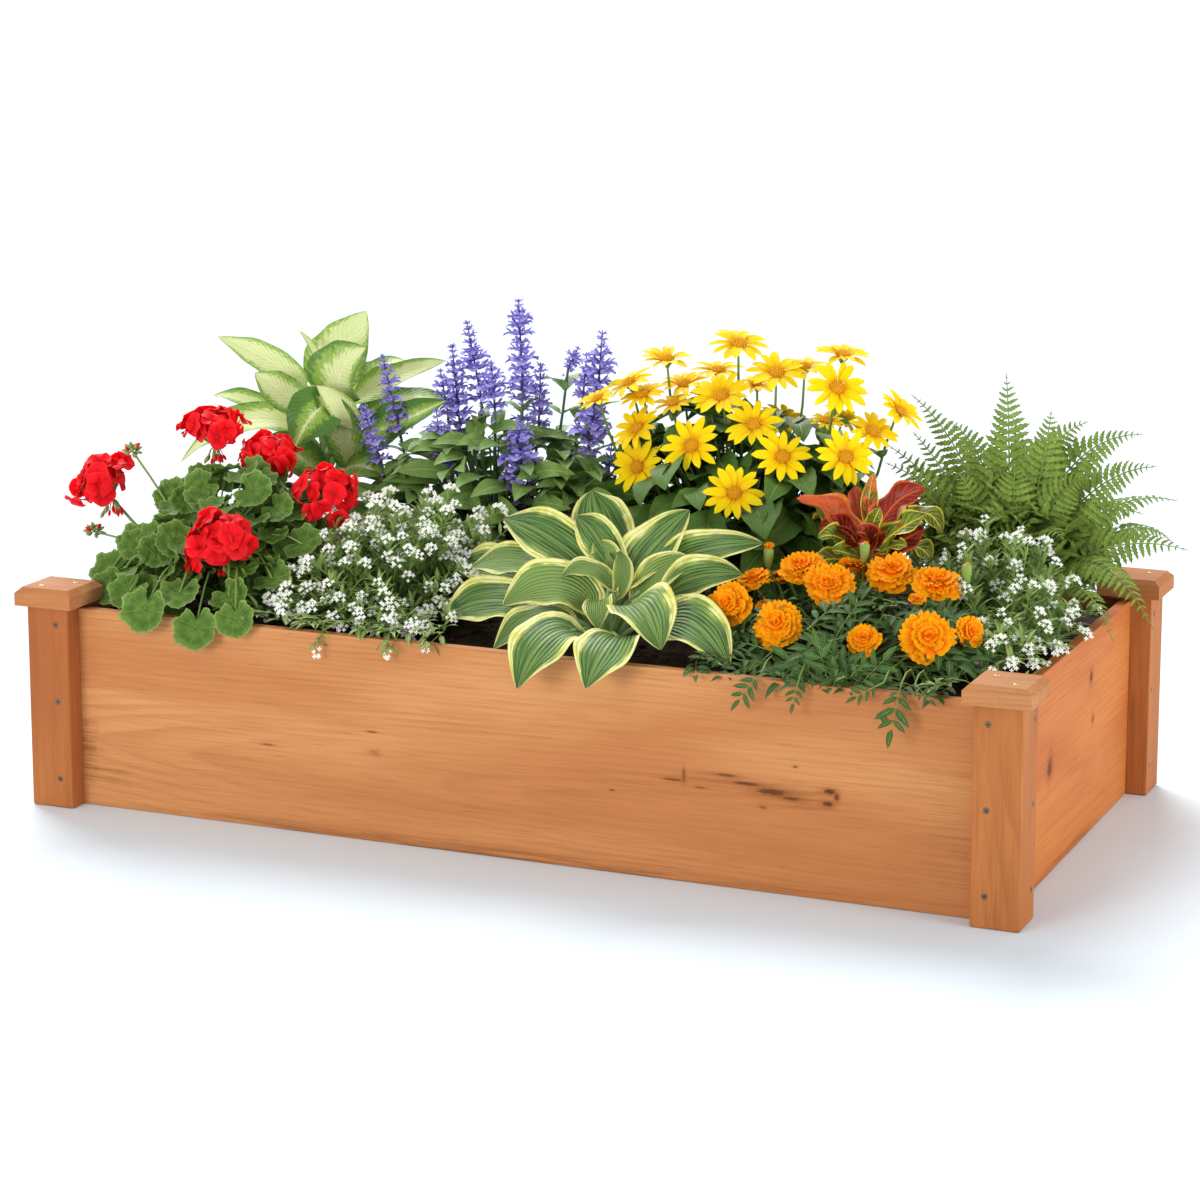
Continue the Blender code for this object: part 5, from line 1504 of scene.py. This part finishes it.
# == Hosta: a rosette of broad blue-green leaves with cream-yellow margins ==
HOSTA_CROWN = (0.068, -0.15, 0.225)
HOSTA_BLADES = (        # foot, middle, tip, half width, facing, cup, tone
    ((0.076, -0.118, 0.312), (0.034, -0.082, 0.352), (0.014, -0.058, 0.386), 0.038, (0.2, -0.9, 0.4), 0.2, 0.15),
    ((0.08, -0.138, 0.31), (0.048, -0.124, 0.346), (0.016, -0.11, 0.365), 0.024, (0.3, -0.9, 0.4), 0.25, 0.25),
    ((0.083, -0.142, 0.3), (0.064, -0.134, 0.326), (0.046, -0.124, 0.342), 0.017, (0.5, -0.8, 0.2), 0.4, 0.95),
    ((0.042, -0.138, 0.312), (-0.014, -0.122, 0.341), (-0.081, -0.1, 0.353), 0.032, (0.1, -0.8, 0.6), 0.22, 0.2),
    ((-0.004, -0.146, 0.306), (-0.054, -0.136, 0.313), (-0.11, -0.13, 0.298), 0.026, (0.1, -0.6, 0.8), 0.2, 0.6),
    ((-0.032, -0.122, 0.288), (-0.096, -0.106, 0.298), (-0.149, -0.09, 0.287), 0.029, (0.0, -0.6, 0.8), 0.22, 0.1),
    ((-0.006, -0.18, 0.266), (-0.06, -0.19, 0.276), (-0.112, -0.206, 0.251), 0.033, (0.1, -0.65, 0.8), 0.2, 0.1),
    ((0.056, -0.168, 0.282), (0.016, -0.188, 0.301), (-0.03, -0.216, 0.277), 0.033, (0.1, -0.7, 0.7), 0.25, 0.75),
    ((0.08, -0.16, 0.3), (0.052, -0.166, 0.317), (0.026, -0.176, 0.308), 0.016, (0.1, -0.5, 0.9), 0.35, 0.8),
    ((0.072, -0.252, 0.266), (0.055, -0.296, 0.262), (0.04, -0.331, 0.215), 0.036, (0.0, -0.75, 0.7), 0.18, 0.3),
    ((0.127, -0.25, 0.264), (0.13, -0.296, 0.261), (0.123, -0.332, 0.224), 0.035, (0.1, -0.8, 0.6), 0.16, 0.3),
    ((0.12, -0.2, 0.288), (0.152, -0.232, 0.291), (0.183, -0.262, 0.257), 0.037, (0.2, -0.5, 0.85), 0.3, 0.45),
    ((0.16, -0.196, 0.27), (0.21, -0.222, 0.277), (0.26, -0.253, 0.242), 0.034, (0.3, -0.7, 0.7), 0.2, 0.1),
    ((0.15, -0.15, 0.298), (0.186, -0.146, 0.316), (0.234, -0.144, 0.322), 0.026, (-0.1, -0.8, 0.6), 0.35, 0.35),
    ((0.11, -0.148, 0.292), (0.14, -0.138, 0.318), (0.17, -0.128, 0.326), 0.021, (0.1, -0.8, 0.5), 0.45, 0.9),
    ((0.13, -0.118, 0.314), (0.172, -0.104, 0.337), (0.237, -0.086, 0.347), 0.027, (0.0, -0.75, 0.7), 0.25, 0.15),
    ((0.098, -0.138, 0.308), (0.114, -0.106, 0.34), (0.141, -0.071, 0.375), 0.034, (-0.1, -0.85, 0.5), 0.22, 0.15),
    ((0.076, -0.182, 0.286), (0.083, -0.204, 0.284), (0.091, -0.222, 0.262), 0.018, (0.1, -0.8, 0.6), 0.25, 0.8),
    ((0.088, -0.156, 0.29), (0.092, -0.152, 0.318), (0.086, -0.15, 0.338), 0.012, (0.4, -0.9, 0.1), 0.8, 0.95),
    ((0.06, -0.108, 0.3), (0.02, -0.07, 0.318), (-0.034, -0.03, 0.302), 0.03, (-0.2, 0.2, 1.0), 0.2, 0.2),
    ((0.09, -0.104, 0.296), (0.11, -0.06, 0.312), (0.132, -0.012, 0.29), 0.03, (0.2, 0.2, 1.0), 0.2, 0.25),
    ((0.11, -0.12, 0.29), (0.16, -0.08, 0.304), (0.206, -0.044, 0.286), 0.027, (0.2, 0.0, 1.0), 0.2, 0.15),
    ((0.05, -0.12, 0.286), (-0.01, -0.088, 0.294), (-0.062, -0.052, 0.272), 0.028, (-0.2, 0.0, 1.0), 0.2, 0.15),
    ((0.04, -0.19, 0.262), (0.012, -0.226, 0.266), (-0.02, -0.262, 0.238), 0.026, (0.0, -0.6, 0.8), 0.22, 0.5),
)


def add_hosta():
    plant, broad = Plant("hosta"), outline(0.48, 0.66, 0.05)

    def shape(t):
        return broad(t) * (1 - 0.3 * max(0.0, (t - 0.62) / 0.38) ** 1.5)

    draw_leaves(plant, HOSTA_BLADES, shape, hosta_finish(), rows=20, cols=13,
                thickness=0.0007, wave=0.16, waves=1.5, lobe=0.75)
    for foot, middle, *_ in HOSTA_BLADES:
        foot, way = Vector(foot), (Vector(middle) - Vector(foot)).normalized()
        right, back = off_crown(foot, HOSTA_CROWN)
        joint = Vector(HOSTA_CROWN) + Vector((right * 0.12, back * 0.12, 0))
        bend = joint.lerp(foot, 0.6) + Vector(((joint.x - foot.x) * 0.12, (joint.y - foot.y) * 0.12, 0.006))
        plant.stems.add([joint, bend, foot + way * 0.002], 0.004, 0.0022, 0.6)
    stalk_mat = stem_finish("hosta_stalk", (0.16, 0.3, 0.09), (0.36, 0.5, 0.2), gloss=0.4)
    plant.stalks(stalk_mat, steps=10, sides=8)


# == Marigold: ruffled orange pompons over dark pinnate leaves ==
MARIGOLD_HEADS = (      # centre, facing, radius, first and last ring of petals
    ((0.232, -0.19, 0.301), (-0.1, -0.85, 0.55), 0.027, 0, 6),
    ((0.3, -0.212, 0.289), (0.15, -0.85, 0.55), 0.0285, 0, 6),
    ((0.286, -0.09, 0.331), (0.0, -0.42, 0.9), 0.029, 0, 6),
    ((0.332, -0.13, 0.322), (0.15, -0.62, 0.75), 0.029, 0, 6),
    ((0.236, -0.12, 0.318), (-0.2, -0.3, 0.95), 0.0215, 0, 5),
    ((0.404, -0.22, 0.283), (0.25, -0.75, 0.65), 0.0225, 1, 6),
    ((0.476, -0.212, 0.29), (0.4, -0.85, 0.5), 0.0305, 0, 6),
    ((0.387, -0.07, 0.332), (0.1, -0.4, 0.92), 0.0295, 0, 6),
    ((0.444, -0.082, 0.326), (0.2, -0.38, 0.92), 0.0285, 0, 6),
    ((0.436, -0.13, 0.311), (0.2, -0.4, 0.9), 0.015, 2, 6),
    ((0.514, -0.172, 0.289), (0.8, -0.5, 0.4), 0.0215, 1, 6),
    ((0.255, -0.06, 0.312), (-0.5, 0.3, 0.85), 0.023, 0, 5),
    ((0.335, -0.04, 0.322), (0.0, 0.6, 0.8), 0.025, 0, 6),
    ((0.262, -0.15, 0.292), (-0.1, -0.5, 0.8), 0.014, 2, 5),
)
MARIGOLD_RINGS = (      # tilt from the facing, place out and ahead, length (all over the radius), petals
    (96, 0.38, -0.06, 0.66, 13), (86, 0.32, 0.03, 0.58, 13), (78, 0.26, 0.1, 0.48, 12),
    (68, 0.2, 0.16, 0.38, 10), (52, 0.12, 0.2, 0.3, 8), (26, 0.05, 0.22, 0.26, 5),
)
MARIGOLD_BUDS = (       # tip, width, tone
    ((0.239, -0.07, 0.338), 0.0058, 0.9),
    ((0.348, -0.05, 0.349), 0.0058, 0.1),
    ((0.472, -0.06, 0.337), 0.0058, 0.1),
)
MARIGOLD_SPRAYS = (     # foot, direction it grows, direction it faces, size: the leaves over the front edge
    ((0.309, -0.28, 0.249), (-0.45, -0.45, -0.7), (0.0, -0.9, 0.45), 0.04),
    ((0.353, -0.281, 0.249), (-0.05, -0.45, -0.8), (0.1, -0.9, 0.45), 0.032),
    ((0.448, -0.281, 0.251), (-0.75, -0.35, -0.45), (0.0, -0.85, 0.5), 0.034),
    ((0.468, -0.282, 0.252), (-0.06, -0.45, -0.9), (0.1, -0.9, 0.4), 0.052),
    ((0.482, -0.279, 0.252), (0.55, -0.45, -0.25), (0.1, -0.8, 0.55), 0.032),
)
MARIGOLD_CROWN = Vector((0.365, -0.15, 0.222))
MARIGOLD_MOUNDS = (     # centre, radii, how many leaves
    ((0.375, -0.15, 0.226), (0.158, 0.118, 0.078), 170), ((0.375, -0.15, 0.222), (0.13, 0.095, 0.056), 50),
)
FRONT_LEAVES = 15


def marigold_petal():
    """A ruffled petal, a fan with three scallops at its tip."""
    rows, cols, grid = 4, 7, []
    for i in range(rows):
        t = i / (rows - 1)
        wide = 0.48 * (0.22 + 0.78 * min(1.0, t / 0.72) ** 0.8)
        grid.append([])
        for j in range(cols):
            s = 2 * j / (cols - 1) - 1
            frill = t * t * math.cos(3 * math.pi * s)
            lift = 0.32 * t * (1 - t) + 0.1 * s * s * t + 0.095 * frill
            grid[i].append(Vector((wide * s, t * (0.96 - 0.13 * s * s) + 0.06 * frill, lift)))
    sketch = Sketch()
    sketch.sheet(grid, 0.03)
    return sketch


def leaflet(half_width, rows):
    """A lance-shaped leaflet, folded along its midrib."""
    sketch, shape = Sketch(), outline(0.6, 0.85, 0.04)
    sketch.blade((0, 0, 0), (0, 0.5, 0.07), (0, 1, -0.06), half_width, shape, rows, cols=3, cup=0.32)
    return sketch


def add_pinnate_leaf(plant, leaflets, foot, along, facing, size, tone):
    """A leaf made of paired leaflets on a thin stalk."""
    foot, along, facing = Vector(foot), Vector(along).normalized(), Vector(facing).normalized()
    side = along.cross(facing).normalized()
    facing = side.cross(along)
    vary = plant.vary
    tip = foot + along * size * 0.96
    plant.stems.add([foot, foot + along * size * 0.5 + facing * size * 0.05, tip], 0.0008, 0.0004, 0.6)
    for t, length in ((0.3, 0.4), (0.54, 0.46), (0.78, 0.4)):
        root = foot + along * size * t + facing * size * 0.05 * math.sin(math.pi * t)
        for sign in (-1, 1):
            way = side * sign * 0.78 + along * vary(0.45, 0.75) + facing * vary(-0.22, 0.22)
            face = facing + side * sign * vary(-0.35, 0.1)
            leaflets.add(root, way, face, size * length * vary(0.85, 1.12), tone + vary(-0.15, 0.15))
    leaflets.add(tip, along, facing, size * 0.42, tone)


def add_marigold():
    plant = Plant("marigold", 43)
    rng, vary, stems, crown = plant.rng, plant.vary, plant.stems, MARIGOLD_CROWN
    # The deep red-orange at the petals' feet shows only in the gaps between them: partly the petals' own colour,
    # partly painted shade between the petals.
    orange = petal_finish("marigold_petal", (0.8, 0.065, 0.001), (1.0, 0.205, 0.001), (1.0, 0.38, 0.002),
                          streak=0.02, gloss=0.8, soft=0.15, glow=(0.02, 0.005, 0.001))
    leaf_mat = leaf_finish("marigold_leaf", (0.1, 0.198, 0.05), (0.004, 0.019, 0.004), veins=5, gloss=0.6,
                           shine=0.12)
    stem_mat = stem_finish("marigold_stem", (0.09, 0.18, 0.03), (0.24, 0.34, 0.06))
    petals, leaflets, cups = Scatter(), Scatter(), Scatter()
    hearts, buds = Sketch(), Sketch()
    heart_profile = ((-0.3, 0.16), (-0.14, 0.34), (0.02, 0.38), (0.16, 0.26), (0.24, 0.1))
    bud_profile = ((-0.024, 0.3), (-0.021, 0.6), (-0.012, 0.92), (-0.003, 1.05), (0.0, 0.85), (0.001, 0.4))
    for centre, facing, radius, first, last in MARIGOLD_HEADS:
        centre, facing = Vector(centre), Vector(facing).normalized()
        side = facing.orthogonal().normalized()
        heart = centre - facing * radius * 0.3
        hearts.turned(rings(heart, facing, heart_profile, radius, radius), sides=12)
        for n, (tilt, out_by, ahead, length, count) in enumerate(MARIGOLD_RINGS[first:last]):
            for k in range(count):
                out = swung(side, facing, FULL_TURN * (k + 0.5 * (n % 2) + vary(-0.22, 0.22)) / count)
                lean = math.radians(tilt + vary(-20, 20))
                way = facing * math.cos(lean) + out * math.sin(lean)
                face = facing * math.sin(lean) - out * math.cos(lean) + way.cross(out) * vary(-0.4, 0.4)
                face += side.cross(facing) * vary(-0.35, 0.35)
                start = heart + (out * (out_by + vary(-0.05, 0.05)) + facing * ahead) * radius
                long = radius * length * vary(0.8, 1.08)
                fat = vary(0.95, 1.25)
                petals.add(start, way, face, long, vary(0.35, 0.6), fat)
        cups.add(heart - facing * radius * 0.5, facing, side, (radius * 0.3, 0.013, radius * 0.3), 0.4)
        foot = heart - facing * radius * 0.55
        root = crown.lerp(Vector((centre.x, centre.y, 0.225)), 0.45)
        stems.add(arch(root, foot, 0.6, 0.006), 0.0021, 0.0017, vary(0.3, 0.8))
    lean = Vector((0.04, 0.02, 1)).normalized()
    for tip, width, tone in MARIGOLD_BUDS:
        tip, opening = Vector(tip), tone > 0.5
        buds.turned(rings(tip, lean, bud_profile, wide=width), sides=10, tone=0.9)
        root = crown.lerp(Vector((tip.x, tip.y, 0.225)), 0.6)
        stems.add([root, root.lerp(tip, 0.6), tip - lean * 0.023], 0.0019, 0.0016, 0.7)
        for k in range(10 if opening else 3):
            out = spoke(k * GOLDEN_ANGLE, 3.4)
            petals.add(tip - lean * 0.003 + out * 0.0006, out, out.cross(UP), 0.0085 if opening else 0.004)
    for centre, radii, count in MARIGOLD_MOUNDS:
        for point, out in over_mound(centre, radii, count, rng, lowest=-0.05, jitter=0.22):
            if point.z < 0.23:
                continue
            along = swung(out.orthogonal().normalized(), out, vary(-math.pi, math.pi))
            along = (along + out * vary(0.1, 0.6) + Vector((0, -0.15, -0.1))).normalized()
            size = vary(0.048, 0.064)
            foot = point - along * size * 0.6
            foot.z = max(foot.z, 0.226)
            if leaf_hides_a_flower(foot, along, size, MARIGOLD_HEADS, reach=0.06, margin=0.014):
                continue
            facing = out + Vector((0, -0.2, 0.25))
            add_pinnate_leaf(plant, leaflets, foot, along, facing, size, vary(0.0, 1.15))
            if rng.random() < 0.4:
                stems.add(bow(crown, foot, 0.006), 0.0014, 0.0009)
    for n in range(FRONT_LEAVES):
        x = 0.222 + 0.29 * (n + vary(-0.3, 0.3)) / (FRONT_LEAVES - 1)
        along = Vector((vary(-0.7, 0.7), -0.75, vary(-0.15, 0.35)))
        foot = (x, -0.24 + vary(-0.004, 0.006), 0.243)
        size = vary(0.042, 0.054)
        add_pinnate_leaf(plant, leaflets, foot, along, (0, -0.55, 0.85), size, vary(0.1, 0.9))
    for foot, along, facing, size in MARIGOLD_SPRAYS:
        add_pinnate_leaf(plant, leaflets, foot, along, facing, size, vary(0.1, 0.5))
        stems.add(bow((foot[0], -0.225, 0.236), foot, 0.018), 0.0013, 0.0009, 0.6)
    plant.copies("petals", petals, marigold_petal(), orange, seed=14, spread=0.12)
    plant.drawn("hearts", hearts, orange)
    plant.copies("leaves", leaflets, leaflet(0.165, 5), leaf_mat, seed=15, spread=0.1)
    plant.copies("cups", cups, flower_cup(), stem_mat, seed=16, spread=0.1)
    plant.drawn("buds", buds, stem_mat)
    plant.stalks(stem_mat, steps=5, sides=4)


# == Alyssum: clouds of tiny white flowers on thin branching stalks ==
ALYSSUM_LEFT = dict(
    crown=(-0.225, -0.12, 0.225), seed=51, florets=(7, 9, 12, 15),
    mounds=(        # centre, radii, flower heads, lowest height on the mound
        ((-0.232, -0.128, 0.245), (0.136, 0.132, 0.088), 104, 0.02),
        ((-0.215, -0.07, 0.288), (0.118, 0.064, 0.078), 52, 0.2),
        ((-0.235, -0.22, 0.24), (0.104, 0.036, 0.03), 28, 0.05),
        ((-0.232, -0.118, 0.284), (0.124, 0.062, 0.072), 30, 0.1),
    ),
    sprigs=((-0.304, -0.248, 0.262), (-0.268, -0.256, 0.254), (-0.228, -0.258, 0.258), (-0.19, -0.258, 0.252),
            (-0.15, -0.256, 0.26), (-0.112, -0.252, 0.252), (-0.33, -0.225, 0.262), (-0.088, -0.228, 0.262),
            (-0.366, -0.12, 0.3), (-0.35, -0.165, 0.284), (-0.342, -0.08, 0.33), (-0.262, -0.045, 0.362),
            (-0.178, -0.04, 0.372), (-0.112, -0.04, 0.352), (-0.09, -0.06, 0.335), (-0.15, -0.27, 0.264),
            (-0.118, -0.268, 0.258), (-0.186, -0.27, 0.266), (-0.292, -0.264, 0.262), (-0.25, -0.266, 0.268)),
    hanging=((-0.23, -0.2925, 0.219), (-0.14, -0.2925, 0.226), (-0.093, -0.2905, 0.238)),
    edge=(-0.335, -0.085, -0.258, 0.246),
)
ALYSSUM_RIGHT = dict(
    crown=(0.505, -0.015, 0.225), seed=52, florets=(5, 7, 9, 12),
    mounds=(
        ((0.5, -0.03, 0.242), (0.098, 0.13, 0.082), 64, 0.02),
        ((0.485, 0.04, 0.282), (0.084, 0.056, 0.078), 30, 0.2),
        ((0.545, -0.13, 0.24), (0.048, 0.062, 0.046), 18, 0.1),
        ((0.392, 0.06, 0.282), (0.044, 0.04, 0.046), 16, 0.0),
    ),
    sprigs=((0.56, -0.185, 0.258), (0.592, 0.06, 0.272), (0.586, -0.095, 0.262), (0.586, -0.02, 0.285),
            (0.42, 0.02, 0.322), (0.43, 0.07, 0.345), (0.456, 0.062, 0.366), (0.5, 0.06, 0.356),
            (0.535, 0.05, 0.336), (0.566, 0.055, 0.305), (0.576, -0.15, 0.254), (0.545, -0.205, 0.252)),
)
TOWARDS_LIGHT = Vector((0.25, -0.8, 0.45))
FLORET_SPACING, EDGE_LEAVES, TWIG_LEAVES = 0.00265, 34, 16


def alyssum_floret():
    """A four-petalled flower."""
    def rim(turn):
        return 1.0 if abs(math.sin(2 * turn)) > 0.3 else 0.45

    return Sketch().disc(rim, ring_count=1, segments=12, height=lambda out, turn: 0.1 * out, thickness=0.06)


def add_alyssum(node, white, leaf_mat, stem_mat, crown, seed, florets, mounds, sprigs, hanging=(), edge=None):
    plant, crown = Plant(node, seed), Vector(crown)
    rng, vary, stems = plant.rng, plant.vary, plant.stems
    flowers, leaves, tips = Scatter(), Scatter(), []
    for centre, radii, count, lowest in mounds:
        for point, out in over_mound(centre, radii, count, rng, lowest, jitter=0.2):
            if point.z > 0.24:
                way = (out + UP * 0.6 + Vector((0, -0.25, 0))).normalized()
                tips.append((point + out * vary(-0.022, 0.01), way, rng.choice(florets)))
    for sprig in sprigs:
        way = (Vector(sprig) - crown + Vector((0, -0.03, 0.05))).normalized()
        tips.append((Vector(sprig), way, rng.choice(florets)))
    for sprig in hanging:
        tips.append((Vector(sprig), Vector((vary(-0.2, 0.2), -0.8, -0.3)).normalized(), 5))
    for point, out, count in tips:
        root = crown + Vector(((point.x - crown.x) * 0.35, (point.y - crown.y) * 0.35, 0.002))
        path = arch(root, point, 0.62, 0.01)
        if point.z < 0.2445:
            path = [root, Vector((point.x, -0.238, 0.25)), Vector((point.x, -0.284, 0.25)), point]
        stems.add(path, 0.0011, 0.0006, vary(0.2, 0.8))
        side = out.orthogonal().normalized()
        for k in range(count):
            t = (k + 0.5) / count
            way = swung(side, out, k * GOLDEN_ANGLE + vary(-0.3, 0.3))
            spread = FLORET_SPACING * math.sqrt(k + 0.4)
            place = point + way * spread + out * (0.0035 - 0.007 * t + vary(-0.0012, 0.0012))
            face = (out * 0.5 + way * 0.45 * math.sqrt(t) + UP * 0.2 + TOWARDS_LIGHT * 1.7).normalized()
            flowers.add(place, face.orthogonal(), face, vary(0.0022, 0.0029), vary(0.3, 1.0))
            if k % 4 == 1:
                stems.add([point - out * 0.007, place - face * 0.0006], 0.0004, 0.0003, 0.7)
        for _ in range(TWIG_LEAVES):
            t = vary(0.15, 0.88) ** 0.8
            foot, i = on_path(path, t)
            turn = vary(0, FULL_TURN)
            way = (path[i + 1] - path[i]).normalized() * 0.8 + spoke(turn, vary(0, 0.4))
            size = vary(0.02, 0.034) * (1.2 - 0.6 * t)
            leaves.add(foot, way, UP - way * 0.3, size, vary(0.0, 0.9))
    for n in range(EDGE_LEAVES if edge else 0):
        first, last, y, z = edge
        foot = (first + (last - first) * (n + rng.random()) / EDGE_LEAVES, y, z + vary(-0.003, 0.006))
        way = (vary(-0.8, 0.8), -1, vary(-0.45, 0.5))
        leaves.add(foot, way, (0, -0.5, 1), vary(0.022, 0.035), vary(0.0, 0.6))
    plant.copies("flowers", flowers, alyssum_floret(), white, seed=seed, spread=0.15)
    plant.copies("leaves", leaves, leaflet(0.112, 4), leaf_mat, seed=seed + 2, spread=0.2)
    plant.stalks(stem_mat, steps=4, sides=3)


def add_alyssums():
    leaf_mat = leaf_finish("alyssum_leaf", (0.4, 0.54, 0.145), (0.042, 0.115, 0.016), veins=3, gloss=0.6)
    finishes = alyssum_finish(), leaf_mat, stem_finish("alyssum_stem", (0.13, 0.24, 0.04), (0.3, 0.42, 0.1))
    add_alyssum("alyssum_left", *finishes, **ALYSSUM_LEFT)
    add_alyssum("alyssum_right", *finishes, **ALYSSUM_RIGHT)


# == Setting: pale floor, soft light, and the camera ==
CAMERA_DOWN, CAMERA_TURN = 0.1823, 0.4024       # radians: below the level, and to the left of straight back
LAMPS = (       # name, place, what it shines at, watts
    ("front", (-1.4, -4.6, 1.2), (0, 0, 0.25), 104.0),
    ("side", (4.6, -0.8, 0.85), (0.2, 0, 0.2), 106.0),
)


def hang_lamp(name, light, place, aim):
    lamp = link(name, light)
    lamp.location = place
    lamp.rotation_euler = (Vector(aim) - Vector(place)).to_track_quat('-Z', 'Y').to_euler()


def add_setting():
    scene = bpy.context.scene
    scene.view_settings.view_transform = 'Standard'
    floor_mesh = bpy.data.meshes.new("floor")
    half, low = 60.0, -0.0005
    corners = [(x * half, y * half, low) for x, y in ((-1, -1), (1, -1), (1, 1), (-1, 1))]
    floor_mesh.from_pydata(corners, [], [(0, 1, 2, 3)])
    floor_mesh.materials.append(Finish("pale_floor", 0.9, 0.0).done((0.771, 0.856, 0.92)))
    link("floor", floor_mesh)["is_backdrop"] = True

    scene.world = bpy.data.worlds.new("studio")
    scene.world.use_nodes = True
    background = scene.world.node_tree.nodes["Background"].inputs
    background["Color"].default_value = (1.0, 1.0, 1.0, 1.0)
    background["Strength"].default_value = 0.64

    sun = bpy.data.lights.new("sun", 'SUN')
    sun.energy, sun.angle = 3.3, math.radians(40)
    hang_lamp("sun", sun, (-2.1, 2.7, 3.0), (0, 0, 0))
    for name, place, aim, watts in LAMPS:
        light = bpy.data.lights.new(name, 'AREA')
        light.size, light.energy = 1.8, watts
        hang_lamp(name, light, place, aim)

    camera = link("camera", bpy.data.cameras.new("camera"))
    camera.data.sensor_width, camera.data.lens = 36.0, 98.9
    camera.data.shift_y, camera.data.clip_end = -0.125, 200.0
    camera.location = (1.508, -3.546, 1.134)
    camera.rotation_euler = (math.pi / 2 - CAMERA_DOWN, 0, CAMERA_TURN)
    scene.camera = camera


add_setting()
finish_box()
add_screws()
add_soil()
add_geranium()
add_dieffenbachia()
add_salvia()
add_heliopsis()
add_fern()
add_croton()
add_hosta()
add_marigold()
add_alyssums()

low_high = [[list(corner) for corner in box] for box in (CAD_BOX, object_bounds())]
